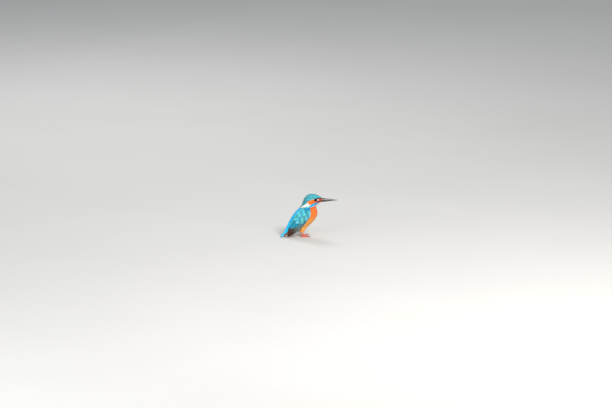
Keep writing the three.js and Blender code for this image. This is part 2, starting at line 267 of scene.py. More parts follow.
def tract_at(u, turn):
    """The number of the tract that a place of the body belongs to."""
    x, y, z = np.moveaxis(body_sheet(u, turn), -1, 0)
    out = np.abs(y)
    down = np.abs((turn + math.pi) % FULL_TURN - math.pi)
    on_face = u < FACE_ENDS
    on_neck = u < NECK_ENDS
    beside = out > FOREHEAD_HALF
    band = np.interp(u, *np.transpose(BACK_BAND))
    (ear_x, ear_z), (jaw_x, jaw_z) = EAR_BACK
    behind_ear = z - ear_z < (x - ear_x) * (jaw_z - ear_z) / (jaw_x - ear_x)
    on_cap = (z > line_height(CAP_EDGE, x)) & on_neck
    above_mantle = (z > line_height(PATCH_EDGE, x)) & on_neck
    on_nape = above_mantle & (out < NAPE_HALF) & (down < NAPE_DOWN)
    below_malar = z < line_height(MALAR_LINE, x)
    above_breast = z > line_height(THROAT_EDGE, x)
    beside_mantle = behind_ear & (down < SHOULDER_DOWN) & (out > band) & (x < SHOULDER_ENDS)

    def striped(*stripes):
        """Where any of these stripes runs."""
        return np.any([within_stripe(line, halves, x, z) for line, halves in stripes], axis=0)

    # the first of these that a place answers to is its tract
    tracts = [
        # the gape's dark line, and along the brow a painted shadow in the same dark colour
        ("gape", striped((GAPE_LINE, GAPE_HALF), (BROW_SHADOW_LINE, BROW_SHADOW_HALF)) & beside),
        ("cap", on_cap | on_nape),
        ("spot", striped((SPOT_LINE, SPOT_HALF)) & beside),
        ("malar", striped((MALAR_LINE, MALAR_HALF), (SHOULDER_LINE, SHOULDER_HALF)) & (down < MALAR_DOWN)),
        ("patch", above_mantle & (down > PATCH_FROM) & behind_ear & (x < PATCH_ENDS)),
        ("scapular", beside_mantle & (u < SHOULDER_BACK)),
        ("throat", above_breast & below_malar & (u < THROAT_ENDS) & (down > THROAT_FROM)),
        ("lore", on_face & (x > LORE_FROM) & (z > LORE_ABOVE)),
        ("gape", on_face & (x > CHIN_FROM) & ~below_malar),
        ("ear", on_face & ~below_malar),
        ("breast", on_face & (down > BREAST_FROM)),
        ("back", (down < BACK_DOWN) & ((out < band) | (u > RUMP_FROM))),
        ("scapular", (down < FLANK_DOWN) & (u < RUMP_FROM)),
        ("vent", u > VENT_FROM),
        ("belly", u > BELLY_FROM),
    ]
    numbers = [TRACT_NAMES.index(name) for name, _ in tracts]
    return np.select([here for _, here in tracts], numbers, TRACT_NAMES.index("breast"))


def coat_depth(u):
    """How thick the coat is, from the bill's root to the tail's."""
    return through_rows(COAT_DEPTH, np.clip(u, 0, 1))[..., 0]


def mesh_piece(name, points, faces, uvs=(), colours=()):
    """A mesh from points in millimetres and arrays of corners, with maps and colours at its points."""
    mesh = bpy.data.meshes.new(name)
    corners = np.concatenate([f.ravel() for f in faces])
    totals = np.concatenate([np.full(len(f), f.shape[1]) for f in faces])
    mesh.vertices.add(len(points))
    mesh.vertices.foreach_set("co", (np.asarray(points) * MM).astype(np.float32).ravel())
    mesh.loops.add(len(corners))
    mesh.loops.foreach_set("vertex_index", corners.astype(np.int32))
    mesh.polygons.add(len(totals))
    mesh.polygons.foreach_set("loop_start", (np.cumsum(totals) - totals).astype(np.int32))
    mesh.polygons.foreach_set("loop_total", totals.astype(np.int32))
    for label, uv in uvs:
        at_corners = uv if len(uv) == len(corners) else uv[corners]
        mesh.uv_layers.new(name=label).data.foreach_set("uv", at_corners.astype(np.float32).ravel())
    for label, colour in colours:
        rgba = np.ones((len(points), 4), np.float32)
        rgba[:, : colour.shape[1]] = colour
        mesh.color_attributes.new(label, "FLOAT_COLOR", "POINT").data.foreach_set("color", rgba.ravel())
    mesh.update(calc_edges=True)
    mesh.validate()
    mesh.polygons.foreach_set("use_smooth", np.full(len(mesh.polygons), True))
    piece = bpy.data.objects.new(name, mesh)
    bpy.context.scene.collection.objects.link(piece)
    return piece


def tube_faces(rings, sides, closed=False):
    """The corners of a tube of rings, closed round, or of a ring whose own section is closed as well."""
    ring, side = np.meshgrid(np.arange(rings - 1 + closed), np.arange(sides), indexing="ij")
    beside = (side + 1) % sides
    onward = (ring + 1) % rings
    corners = [ring * sides + side, ring * sides + beside, onward * sides + beside, onward * sides + side]
    return np.stack(corners, -1).reshape(-1, 4)


def round_grid(along, sides):
    """Places along a tube and turns round it, as two grids."""
    return np.meshgrid(along, np.linspace(0, FULL_TURN, sides, endpoint=False), indexing="ij")


def closed_tube(rings):
    """The points and faces of a tube of rings with its ends drawn to a point."""
    count, sides = rings.shape[:2]
    first = np.arange(sides)
    beyond = (first + 1) % sides
    last = (count - 1) * sides
    tips = np.full(sides, count * sides)
    first_cap = np.stack([beyond, first, tips], 1)
    last_cap = np.stack([last + first, last + beyond, tips + 1], 1)
    points = np.vstack([rings.reshape(-1, 3), [rings[0].mean(0), rings[-1].mean(0)]])
    return points, [tube_faces(count, sides), np.concatenate([first_cap, last_cap])]


def grid_uv(faces, rings, sides, low, high):
    """A map for a closed tube, at the corners: round it from left to right, along it from bottom to top."""
    width = high[0] - low[0]
    across = low[0] + width * np.arange(sides) / sides
    across, up = np.meshgrid(across, np.linspace(low[1], high[1], rings))
    ends = [(low[0] + width / 2, low[1]), (low[0] + width / 2, high[1])]
    uv = np.vstack([np.stack([across, up], -1).reshape(-1, 2), ends])
    found = []
    for f in faces:
        at = uv[f]
        rightmost = at[..., 0].max(1, keepdims=True)
        at[..., 0] += width * (at[..., 0] < rightmost - width * 0.51)
        found.append(at.reshape(-1, 2))
    return np.concatenate(found)


def turned_out(points, faces):
    """The faces of a closed piece, all turned to look outward."""
    volume = sum((np.cross(points[f[:, 0]], points[f[:, i]]) * points[f[:, i + 1]]).sum()
                 for f in faces for i in range(1, f.shape[1] - 1))
    return faces if volume > 0 else [f[:, ::-1] for f in faces]


def join_on(kept, added):
    """Makes one skin of two closed ones that run into each other."""
    union = kept.modifiers.new("union", "BOOLEAN")
    union.operation = "UNION"
    union.solver = "EXACT"
    union.object = added
    evaluated = kept.evaluated_get(bpy.context.evaluated_depsgraph_get())
    whole = bpy.data.meshes.new_from_object(evaluated)
    kept.modifiers.clear()
    kept.data = whole
    bpy.data.objects.remove(added)


hide_u, hide_turn = round_grid(np.linspace(0, 1, HIDE_RINGS) ** RING_CROWDING, HIDE_SIDES)
hide_points, _, _, hide_out = sheet_axes(body_sheet, hide_u, hide_turn)
hide_points = hide_points - hide_out * coat_depth(hide_u)[..., None]
for side in (1, -1):
    off, along = off_eye(hide_points, side)
    dip = SOCKET_DEPTH * (1 - smooth(EYE_OPENING - 0.2, EYE_OPENING + 0.9, off)) * (along > 0)
    hide_points = hide_points - dip[..., None] * eye_axes(side)[2]
hide_closed, hide_faces = closed_tube(hide_points)
tract_grounds = np.array([TRACTS[name][0] for name in TRACT_NAMES])
hide_colour = tract_grounds[tract_at(hide_u, hide_turn).reshape(-1)]
hide_colour = np.vstack([hide_colour, tract_grounds[:2]])  # and the points that close its two ends
hide_map = grid_uv(hide_faces, HIDE_RINGS, HIDE_SIDES, (0.0, 0.0), (1.0, BODY_MAP_TOP))
hide = mesh_piece("hide", hide_closed, hide_faces, uvs=[("OFBake", hide_map)])
dyed = [(hide_closed, hide_colour)]
thigh_places = round_grid(np.linspace(0, 1, THIGH_RINGS), THIGH_SIDES)
thigh_points, _, _, thigh_out = sheet_axes(thigh_sheet, *thigh_places)
for side in (1, -1):
    thigh_closed, thigh_faces = closed_tube((thigh_points - thigh_out * THIGH_DEPTH) * (1, side, 1))
    thigh_faces = turned_out(thigh_closed, thigh_faces)
    map_corners = zip(MAP_HALVES[side], THIGH_MAP)
    thigh_map = grid_uv(thigh_faces, THIGH_RINGS, THIGH_SIDES, *map_corners)
    join_on(hide, mesh_piece("thigh_hide", thigh_closed, thigh_faces, uvs=[("OFBake", thigh_map)]))
    dyed.append((thigh_closed, np.tile(TRACTS["belly"][0], (len(thigh_closed), 1))))

# The lids: a soft dark ring round each eye, beaded along its rim, with fine folds round it. It is
# drawn out to a corner before and behind, and a little flatter above.
LID_DARK = paint(34, 28, 28)
lid_turn = np.linspace(0, FULL_TURN, LID_STEPS, endpoint=False)
lid_shape = 1 + 0.07 * np.abs(np.cos(lid_turn)) ** 5 - 0.05 * np.maximum(np.sin(lid_turn), 0) ** 2
lid_rings = []
for reach, height in through_rows(LID_FOLDED, np.linspace(0, 1, LID_SECTION_STEPS, endpoint=False)):
    beaded = 0.06 * math.exp(-((reach - LID_RIM) / 0.18) ** 2) * (height > 2.4)
    folded = 0.04 * math.exp(-((reach - LID_FOLDS) / 0.45) ** 2) * (height > 1.4)
    lift = beaded * np.abs(np.sin(lid_turn * LID_BEADS)) + folded * np.sin(lid_turn * LID_FOLD_COUNT)
    off = reach * lid_shape
    lid_rings.append(np.stack([off * np.cos(lid_turn), off * np.sin(lid_turn), height + lift], 1))
lid_rings = np.array(lid_rings)
for side in (1, -1):
    lid_points = (lid_rings @ np.stack(eye_axes(side)) + EYE_CENTRE * (1, side, 1)).reshape(-1, 3)
    lid_faces = turned_out(lid_points, [tube_faces(len(lid_rings), LID_STEPS, closed=True)])
    map_across, map_up = np.linspace(*MAP_HALVES[side], LID_STEPS), np.linspace(*LID_MAP, len(lid_rings))
    lid_map = np.stack(np.meshgrid(map_across, map_up), -1).reshape(-1, 2)
    join_on(hide, mesh_piece("lid", lid_points, lid_faces, uvs=[("OFBake", lid_map)]))
    dyed.append((lid_points, np.tile(LID_DARK, (len(lid_points), 1))))
hide.data.polygons.foreach_set("use_smooth", np.full(len(hide.data.polygons), True))


def dye(piece, dyed):
    """Colours a joined skin like the places of the parts that it was joined from."""
    places = np.vstack([points for points, _ in dyed])
    colours = np.vstack([colour for _, colour in dyed])
    tree = KDTree(len(places))
    for number, at in enumerate(places):
        tree.insert(at * MM, number)
    tree.balance()
    nearest = [tree.find(vertex.co)[1] for vertex in piece.data.vertices]
    rgba = np.hstack([colours[nearest], np.ones((len(nearest), 1))]).astype(np.float32)
    piece.data.color_attributes.new("Ground", "FLOAT_COLOR", "POINT").data.foreach_set("color", rgba.ravel())


dye(hide, dyed)


def new_finish(name, roughness, **sockets):
    """A material of one shader, with the numbers and colours that are the same all over it."""
    finish = bpy.data.materials.new(name)
    finish.use_nodes = True
    shader = finish.node_tree.nodes["Principled BSDF"]
    shader.inputs["Roughness"].default_value = roughness
    for socket, value in sockets.items():
        shader.inputs[socket.replace("_", " ")].default_value = value
    return finish, finish.node_tree, shader


def add_node(tree, kind, values=(), **settings):
    """A node with its settings, and with numbers or colours set on its sockets."""
    node = tree.nodes.new(kind)
    for key, value in settings.items():
        setattr(node, key, value)
    for socket, value in dict(values).items():
        node.inputs[socket].default_value = value
    return node


def fed(tree, socket, value):
    """Gives a socket a number, a colour or another node's output."""
    if isinstance(value, bpy.types.NodeSocket):
        tree.links.new(value, socket)
    else:
        socket.default_value = value


def worked(tree, operation, *operands):
    """The output of a maths node on numbers and other outputs."""
    node = add_node(tree, "ShaderNodeMath", operation=operation)
    for socket, operand in zip(node.inputs, operands):
        fed(tree, socket, operand)
    return node.outputs[0]


def ranged(tree, value, low, high, start=0.0, end=1.0):
    """A number eased from start to end while a value goes from low to high."""
    limits = {1: low, 2: high, 3: start, 4: end}
    node = add_node(tree, "ShaderNodeMapRange", limits, interpolation_type="SMOOTHSTEP")
    fed(tree, node.inputs[0], value)
    return node.outputs[0]


def blended(tree, share, start, end, mode="MIX"):
    """The output of a colour mix."""
    node = add_node(tree, "ShaderNodeMix", data_type="RGBA", blend_type=mode)
    for index, value in ((0, share), (6, start), (7, end)):
        fed(tree, node.inputs[index], value)
    return node.outputs[2]


def noise(tree, place, scale, detail=3.0, stretch=None):
    """Cloudy noise at a place, which may be stretched first."""
    if stretch:
        mapping = add_node(tree, "ShaderNodeMapping", {"Scale": stretch})
        tree.links.new(place, mapping.inputs["Vector"])
        place = mapping.outputs[0]
    node = add_node(tree, "ShaderNodeTexNoise", {"Scale": scale, "Detail": detail})
    tree.links.new(place, node.inputs["Vector"])
    return node.outputs[0]


def pebbled(tree, place, scale, **settings):
    """How far each spot lies from the middle or, if the settings say so, the edge of a rounded cell."""
    node = add_node(tree, "ShaderNodeTexVoronoi", {"Scale": scale}, **settings)
    tree.links.new(place, node.inputs["Vector"])
    return node.outputs["Distance"]


def whereabouts(tree):
    """Where a spot of the piece lies, in metres."""
    return add_node(tree, "ShaderNodeTexCoord").outputs["Object"]


def in_map(tree, name):
    """Where a spot lies in one of the piece's maps."""
    return add_node(tree, "ShaderNodeUVMap", uv_map=name).outputs[0]


def parted(tree, place):
    """A place's x, y and z."""
    node = add_node(tree, "ShaderNodeSeparateXYZ")
    tree.links.new(place, node.inputs[0])
    return node.outputs


def attribute(tree, name, output="Color"):
    """A colour, or its strength, that was laid down at the piece's points."""
    return add_node(tree, "ShaderNodeAttribute", attribute_name=name).outputs[output]


def coloured(tree, shader, colour):
    """Gives a shader its colour."""
    tree.links.new(colour, shader.inputs["Base Color"])


def bumped(tree, shader, height, strength, distance):
    """Gives a shader fine relief."""
    bump = add_node(tree, "ShaderNodeBump", {"Strength": strength, "Distance": distance})
    tree.links.new(height, bump.inputs["Height"])
    tree.links.new(bump.outputs["Normal"], shader.inputs["Normal"])


def settle(piece, finish, slot, *nodes):
    """Gives a piece its finish, hangs it under the root and hides the CAD nodes that it stands for; slot is
    not used.
    """
    piece.data.materials.clear()
    piece.data.materials.append(finish)
    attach(piece, "root")
    if nodes:
        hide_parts(*nodes)


skin_finish, tree, shader = new_finish("feathered hide", 0.62)
place = whereabouts(tree)
dull = blended(tree, 1.0, attribute(tree, "Ground"), (0.62, 0.56, 0.54, 1), "MULTIPLY")
clouds = worked(tree, "MULTIPLY", noise(tree, place, 420.0), 0.4)
coloured(tree, shader, blended(tree, clouds, dull, (0.02, 0.02, 0.02, 1)))
bumped(tree, shader, pebbled(tree, place, 1400.0), 0.5, 0.00012)
settle(hide, skin_finish, "body_feathers", "head", "neck", "trunk", "thigh_left", "thigh_right")

# ---------------------------------------------------------------------------------- the eyes
# Two wet globes deep in the head, looking outward and a little ahead, of which the lids leave a round
# of dark brown iris and a black pupil. The cornea bulges a little out of the globe.
EYE_RINGS = 60
EYE_SIDES = 80
EYE_POLE = 0.02  # angle between the first ring and the point that closes the globe
CORNEA_RISE = 0.14
CORNEA_EDGE = (0.3, 0.8)  # angles off the eye's axis between which it comes down to the globe
PUPIL = 1.35
IRIS = 2.55
IRIS_SPAN = 8.0  # millimetres that the height of the iris's map stands for

eye_finish, tree, shader = new_finish(
    "wet eye", 0.3, Specular_IOR_Level=0.0, Coat_Weight=1.0, Coat_Roughness=0.015, Coat_IOR=1.28,
)
look = in_map(tree, "Iris")
fibres = noise(tree, look, 9.0, 5.0, stretch=(9.0, 0.6, 1.0))
reach = worked(tree, "ADD", parted(tree, look)[1], worked(tree, "MULTIPLY", fibres, 0.012))
warm = blended(tree, fibres, (0.004, 0.002, 0.0012, 1), (0.020, 0.008, 0.0035, 1))
dark_rim = ranged(tree, reach, (IRIS - 0.25) / IRIS_SPAN, (IRIS + 0.1) / IRIS_SPAN)
ringed = blended(tree, dark_rim, warm, (0.004, 0.003, 0.003, 1))
opened = ranged(tree, reach, (PUPIL - 0.06) / IRIS_SPAN, (PUPIL + 0.06) / IRIS_SPAN)
coloured(tree, shader, blended(tree, opened, (0.001, 0.001, 0.001, 1), ringed))

off_axis, turn = round_grid(np.linspace(EYE_POLE, math.pi - EYE_POLE, EYE_RINGS), EYE_SIDES)
radius = EYE_RADIUS + CORNEA_RISE * (1 - smooth(*CORNEA_EDGE, off_axis))
aside = radius * np.sin(off_axis)
ball = np.stack([aside * np.cos(turn), aside * np.sin(turn), radius * np.cos(off_axis)], -1)
back_of_eye = EYE_RADIUS * math.pi / IRIS_SPAN
for side, name in ((1, "eye_left"), (-1, "eye_right")):
    globe, globe_faces = closed_tube(ball @ np.stack(eye_axes(side)) + EYE_CENTRE * (1, side, 1))
    globe_faces = turned_out(globe, globe_faces)
    settle(mesh_piece(name + "_globe", globe, globe_faces, uvs=[
        ("OFBake", grid_uv(globe_faces, EYE_RINGS, EYE_SIDES, (0.02, 0.02), (0.98, 0.98))),
        ("Iris", grid_uv(globe_faces, EYE_RINGS, EYE_SIDES, (0.0, 0.0), (1.0, back_of_eye))),
    ]), eye_finish, "eye", name)

# ---------------------------------------------------------------------------------- the bill
# Two long straight blades of black horn that close on each other. The upper has a ridge along its
# top and a slit nostril near the feathers, the lower a flatter keel. Their roots run into the hide.
BILL_TIP = (67.5, 81.9)
BILL_ROOT_HALF = 4.1
BILL_POINT = 0.075  # size of the tip, as a share of the root
BILL_SWELL = 0.22  # how far the ridges bow out of the straight
COMMISSURE = 82.7  # height of the line between the mandibles at the root
BILL_PARTING = 0.12  # between the closed edges
BILL_RINGS = 150
BILL_SIDES = 64
BILL_INSIDE = 0.09  # share of its length that runs on into the head
BILL_RIDGE = {1: 0.08, -1: 0.05}  # how far the ridge above and the keel below stand out of the round
NOSTRIL_AT, NOSTRIL_LENGTH = 0.085, 0.05  # shares of the bill's length
NOSTRIL_OUT, NOSTRIL_HALF, NOSTRIL_DEPTH = 0.78, 0.055, 0.8
GROOVE_OUT, GROOVE_HALF, GROOVE_DEPTH = 0.75, 0.1, 0.2  # of the furrow that runs on ahead of it
CUTTING_RIM = 0.10
MOUTH_HOLLOW = 0.5
(ROOT_X, ROOT_TOP), (UNDER_X, ROOT_UNDER) = BODY_CHORDS[0][:2], BODY_CHORDS[0][2:4]


def mandible(up):
    """Rings from inside the head to the tip, each round the outside and back across the mouth's side."""
    share = np.linspace(-BILL_INSIDE, 1, BILL_RINGS)[:, None]
    angle = np.linspace(0, math.pi, BILL_SIDES // 2)[None, :]
    ahead = np.clip(share, 0, 1)
    hand, aside = np.sign(np.cos(angle)), np.abs(np.cos(angle))
    taper = 1 + (BILL_POINT - 1) * ahead
    swell = 1 + BILL_SWELL * np.sin(math.pi * ahead) * (1 - ahead)
    lip = COMMISSURE + (BILL_TIP[1] - COMMISSURE) * ahead + up * BILL_PARTING / 2
    depth = (ROOT_TOP - COMMISSURE) if up > 0 else (COMMISSURE - ROOT_UNDER)
    ridge = 1 + BILL_RIDGE[up] * np.exp(-((angle - math.pi / 2) / 0.25) ** 2) * (1 - 0.6 * ahead)
    flank = 1 - 0.10 * np.sin(2 * angle) ** 2
    y = BILL_ROOT_HALF * taper * np.cos(angle) * flank
    z = lip + up * depth * taper * swell * np.sin(angle) ** 0.92 * ridge / ridge.max()
    if up > 0:
        slit = np.exp(-(((share - NOSTRIL_AT) / NOSTRIL_LENGTH) ** 4))
        slit = slit * np.exp(-((aside - NOSTRIL_OUT) / NOSTRIL_HALF) ** 2)
        groove = smooth(0.03, 0.1, share) * (1 - smooth(0.3, 0.6, share))
        groove = groove * np.exp(-((aside - GROOVE_OUT) / GROOVE_HALF) ** 2)
        y = y - hand * (NOSTRIL_DEPTH * slit + GROOVE_DEPTH * groove)
    y = y + hand * (CUTTING_RIM * np.exp(-(np.sin(angle) / 0.16) ** 2) * (1 - ahead))
    slope = (ROOT_X - UNDER_X) / (ROOT_TOP - ROOT_UNDER)
    root_x = UNDER_X + slope * (z - ROOT_UNDER)
    x = root_x + (BILL_TIP[0] - root_x) * share
    outside = np.stack([x, y, z], -1)
    t = np.linspace(0, 1, BILL_SIDES // 2 + 2)[1:-1][None, :, None]
    inside = outside[:, -1:] * (1 - t) + outside[:, :1] * t
    inside[..., 2] += up * MOUTH_HOLLOW * np.sin(math.pi * t[..., 0]) * (1 - ahead)
    return np.concatenate([outside, inside], 1)


horn_finish, tree, shader = new_finish(
    "black horn", 0.34, Specular_IOR_Level=0.3, Coat_Weight=0.5, Coat_Roughness=0.2, Coat_IOR=1.45,
)
place = whereabouts(tree)
streaks = noise(tree, place, 260.0, 6.0, stretch=(0.09, 1.0, 1.0))
specks = worked(tree, "MULTIPLY", noise(tree, place, 1500.0), 0.2)
worn = ranged(tree, streaks, 0.35, 0.75)
black = blended(tree, worn, (0.004, 0.0035, 0.004, 1), (0.022, 0.020, 0.021, 1))
coloured(tree, shader, blended(tree, specks, black, (0.04, 0.034, 0.03, 1)))
tree.links.new(ranged(tree, streaks, 0.3, 0.8, 0.24, 0.46), shader.inputs["Roughness"])
bumped(tree, shader, streaks, 0.25, 0.00012)

for up, node in ((1, "bill_upper"), (-1, "bill_lower")):
    rings = mandible(up)
    horn, horn_faces = closed_tube(rings)
    horn_faces = turned_out(horn, horn_faces)
    settle(mesh_piece(node + "_horn", horn, horn_faces, uvs=[
        ("OFBake", grid_uv(horn_faces, BILL_RINGS, rings.shape[1], (0.02, 0.02), (0.98, 0.98))),
    ]), horn_finish, "bill_horn", node)

# ---------------------------------------------------------------------------------- the feet
# Short bare shanks and four toes each, of coral red skin in plates on top and in soft pads below, with
# the two longest toes grown together for most of their length. The soles lie flat on the ground.
FOOT_OUT = 8.2
ANKLE_X = -12.8
SHANK = [
    # x, y and z of its middle line and its radius, from inside the thigh down into the foot
    [-18.2, FOOT_OUT, 11.9, 1.75],
    [-17.4, FOOT_OUT, 8.2, 1.2],
    [-14.9, FOOT_OUT, 5.0, 1.2],
    [ANKLE_X, FOOT_OUT, 1.7, 1.7],
]
SHANK_STEPS = 30
SPLAY = 6  # degrees that the whole foot turns out
TOES = [
    # degrees outward from straight ahead, length without the claw, claw's length
    (-26, 7.4, 3.0),
    (1, 12.4, 3.6),
    (15, 11.0, 3.2),
    (-176, 5.6, 3.4),
]
TOE_HEIGHTS = [[1.9], [1.15], [0.95], [0.92]]  # of a toe's middle line, at even steps along it
TOE_RADIUS = 1.2
TOE_STEPS = 40
PAD_LENGTH, PAD_DEPTH = 3.2, 0.10
PLATE = 0.95  # length of one plate of the toe's top
PLATE_RISE, SEAM_DEPTH, SEAM_HALF, GRAIN_RISE = 0.05, 0.11, 0.10, 0.025
FOOT_SIDES = 20
FOOT_VOXEL = 0.15
CLAW_INSIDE = 0.9  # of the claw, within the toe
CLAW_HEIGHTS = [[1.15], [1.75], [1.35], [0.22]]
CLAW_RADII = [[0.78], [0.62], [0.4], [0.05]]
CLAW_CLEARS = 0.02  # the least height of a claw above the ground
CLAW_RINGS = 26
CLAW_SIDES = 16


def limb_rings(middles, radii, sides):
    """Round rings along a line of points."""
    along = unit(np.gradient(middles, axis=0))
    aside = unit(np.cross(along, [0.0, 0.0, 1.0]) + np.array([0.0, 1e-4, 0.0]))
    over = np.cross(aside, along)
    turn = np.linspace(0, FULL_TURN, sides, endpoint=False)[None, :, None]
    outward = aside[:, None] * np.cos(turn) + over[:, None] * np.sin(turn)
    return middles[:, None] + radii[:, None, None] * outward


def toe_line(degrees, length):
    """The middle line of a toe, from the ankle out, and its radius, with a pad under each of its bones."""
    bearing = math.radians(degrees + SPLAY)
    reach = np.linspace(0, 1, TOE_STEPS)
    height = through_rows(TOE_HEIGHTS, reach)[:, 0]
    pads = PAD_DEPTH * np.cos(reach * math.pi * 2 * max(round(length / PAD_LENGTH), 2))
    radius = TOE_RADIUS * (1.0 - 0.2 * reach ** 2) + pads - 0.45 * smooth(0.93, 1.05, reach)
    x = ANKLE_X + math.cos(bearing) * reach * length
    y = FOOT_OUT + math.sin(bearing) * reach * length
    return np.stack([x, y, height], 1), radius


def voxel_joined(parts, voxel):
    """One skin round closed parts that run into each other, as points and faces in millimetres."""
    points, faces, start = [], [], 0
    for part_points, part_faces in parts:
        points.append(part_points)
        faces += [tuple(int(c) + start for c in corner) for f in part_faces for corner in f]
        start += len(part_points)
    mesh = bpy.data.meshes.new("parts")
    mesh.from_pydata(np.vstack(points).tolist(), [], faces)
    lump = bpy.data.objects.new("parts", mesh)
    bpy.context.scene.collection.objects.link(lump)
    remesh = lump.modifiers.new("one skin", "REMESH")
    remesh.mode = "VOXEL"
    remesh.voxel_size = voxel
    soften = lump.modifiers.new("soften", "SMOOTH")
    soften.factor = 0.5
    soften.iterations = 4
    whole = bpy.data.meshes.new_from_object(lump.evaluated_get(bpy.context.evaluated_depsgraph_get()))
    joined = np.empty(len(whole.vertices) * 3)
    whole.vertices.foreach_get("co", joined)
    normals = np.empty(len(whole.vertices) * 3)
    whole.vertices.foreach_get("normal", normals)
    corners = np.empty(len(whole.loops), int)
    whole.loops.foreach_get("vertex_index", corners)
    bpy.data.objects.remove(lump)
    return joined.reshape(-1, 3), normals.reshape(-1, 3), corners.reshape(-1, 4)


shank = through_rows(SHANK, np.linspace(0, 1, SHANK_STEPS))
foot_lines = [(shank[:, :3], shank[:, 3])] + [toe_line(degrees, length) for degrees, length, _ in TOES]
foot_parts = [closed_tube(limb_rings(middle, radius, FOOT_SIDES)) for middle, radius in foot_lines]
foot_points, foot_normals, foot_faces = voxel_joined(foot_parts, FOOT_VOXEL)

# Plates across the top of each toe and down the front of the shank, and fine grains elsewhere.
line_points = np.vstack([middle for middle, _ in foot_lines])
line_steps = [np.linalg.norm(np.diff(middle, axis=0), axis=1) for middle, _ in foot_lines]
line_reach = np.concatenate([np.concatenate([[0], np.cumsum(steps)]) for steps in line_steps])
nearest = np.argmin(np.linalg.norm(foot_points[:, None] - line_points[None], axis=2), axis=1)
on_top = smooth(0.15, 0.6, foot_normals[:, 2] + 0.6 * foot_normals[:, 0])
to_joint = np.abs((line_reach[nearest] / PLATE) % 1.0 - 0.5) * PLATE
seams = np.exp(-((0.5 * PLATE - to_joint) / SEAM_HALF) ** 2)
plates = PLATE_RISE * np.cos(to_joint / PLATE * math.pi) - SEAM_DEPTH * seams
waves = np.sin(foot_points * (13, 14, 12))
grains = GRAIN_RISE * waves[:, 0] * waves[:, 1] * waves[:, 2]
foot_points = foot_points + foot_normals * (on_top * plates + (1 - on_top) * grains)[:, None]
foot_points[:, 2] = np.maximum(foot_points[:, 2], 0.0)

foot_finish, tree, shader = new_finish(
    "coral red foot skin", 0.42, Specular_IOR_Level=0.45, Subsurface_Weight=0.12,
    Subsurface_Radius=(0.0012, 0.0004, 0.0002), Subsurface_Scale=0.6,
)
place = whereabouts(tree)
cracks = ranged(tree, pebbled(tree, place, 2600.0, feature="DISTANCE_TO_EDGE"), 0.0, 0.10)
blush = blended(tree, noise(tree, place, 300.0), (0.62, 0.048, 0.020, 1), (0.84, 0.14, 0.056, 1))
coloured(tree, shader, blended(tree, cracks, (0.42, 0.032, 0.018, 1), blush))
bumped(tree, shader, cracks, 0.35, 0.00006)

claw_finish, tree, shader = new_finish("dark claw", 0.28, Coat_Weight=0.2, Coat_Roughness=0.15)
grown = noise(tree, whereabouts(tree), 900.0, 5.0, stretch=(0.3, 1.0, 1.0))
coloured(tree, shader, blended(tree, grown, (0.016, 0.012, 0.010, 1), (0.075, 0.045, 0.034, 1)))
bumped(tree, shader, grown, 0.2, 0.00005)


def gathered(name, parts):
    """One piece of several closed parts, each given as points, faces and a map at the corners."""
    points, faces, uv, start = [], [], [], 0
    for part_points, part_faces, part_uv in parts:
        points.append(part_points)
        faces += [f + start for f in part_faces]
        uv.append(part_uv)
        start += len(part_points)
    return mesh_piece(name, np.vstack(points), faces, uvs=[("OFBake", np.concatenate(uv))])


def claw_parts():
    """The curved claws at the toes' ends, each a horn narrowing to its point just above the ground."""
    share = np.linspace(0, 1, CLAW_RINGS)
    height = through_rows(CLAW_HEIGHTS, share)[:, 0]
    radius = through_rows(CLAW_RADII, share)[:, 0]
    parts = []
    for degrees, length, claw in TOES:
        bearing = math.radians(degrees + SPLAY)
        stages = (-CLAW_INSIDE, claw * 0.35, claw * 0.75, claw)
        reach = through_rows([[length + stage] for stage in stages], share)[:, 0]
        x, y = ANKLE_X + math.cos(bearing) * reach, FOOT_OUT + math.sin(bearing) * reach
        parts.append(closed_tube(limb_rings(np.stack([x, y, height], 1), radius, CLAW_SIDES)))
    return parts


for side, hand in ((1, "left"), (-1, "right")):
    skin_points = foot_points * (1, side, 1)
    skin = mesh_piece(f"foot_{hand}_skin", skin_points, turned_out(skin_points, [foot_faces]))
    settle(skin, foot_finish, "foot_skin", f"foot_{hand}")
    claws = []
    for number, (points, faces) in enumerate(claw_parts()):
        points = points * (1, side, 1)
        points[:, 2] = np.maximum(points[:, 2], CLAW_CLEARS)
        faces = turned_out(points, faces)
        left = number / len(TOES)
        uv = grid_uv(faces, CLAW_RINGS, CLAW_SIDES, (left + 0.01, 0.02), (left + 0.24, 0.98))
        claws.append((points, faces, uv))
    settle(gathered(f"claws_{hand}", claws), claw_finish, "bill_horn")

# ---------------------------------------------------------------------------------- the tail
# Twelve stiff quills laid as a shallow roof, the middle pair on top, from under the coverts down to
# the ground. Each is a thin blade with a shaft along it, a vane either side of the shaft, and a few
# places where the barbs of a vane have come apart.
QUILL_ROWS = 64
QUILL_COLUMNS = np.array([-1, -0.84, -0.6, -0.34, -0.12, -0.05, 0, 0.05, 0.12, 0.34, 0.6, 0.84, 1])
QUILL_THICK = 0.10
SHAFT_RISE = 0.16
BARB_SWEEP = 0.55  # how far a barb's end lies ahead of its foot, as a share of the vane's width
TAIL_ROOT = np.array([-45.4, 0, 27.0])
TAIL_ALONG = unit(np.array([-68.0, 0, -0.6]) - TAIL_ROOT)
TAIL_UP = np.array([TAIL_ALONG[2], 0, -TAIL_ALONG[0]])
TAIL_PAIRS = 6
TAIL_ROOF = 1.6
TAIL_LENGTH = 34.4
TAIL_HALF, TAIL_WIDENS, TAIL_SPAN = 5.0, 4.6, 35.7  # half its width at the root, and what the span adds
TAIL_ROOT_GAP, TAIL_TIP_GAP = 0.55, 1.36  # from one quill to the next
TAIL_WEBS, MIDDLE_WEBS = (2.9, 1.5), (2.3, 2.3)
QUILL_BARBS = 26.0  # how closely its finest barbs follow each other
quill_rng = np.random.default_rng(5)


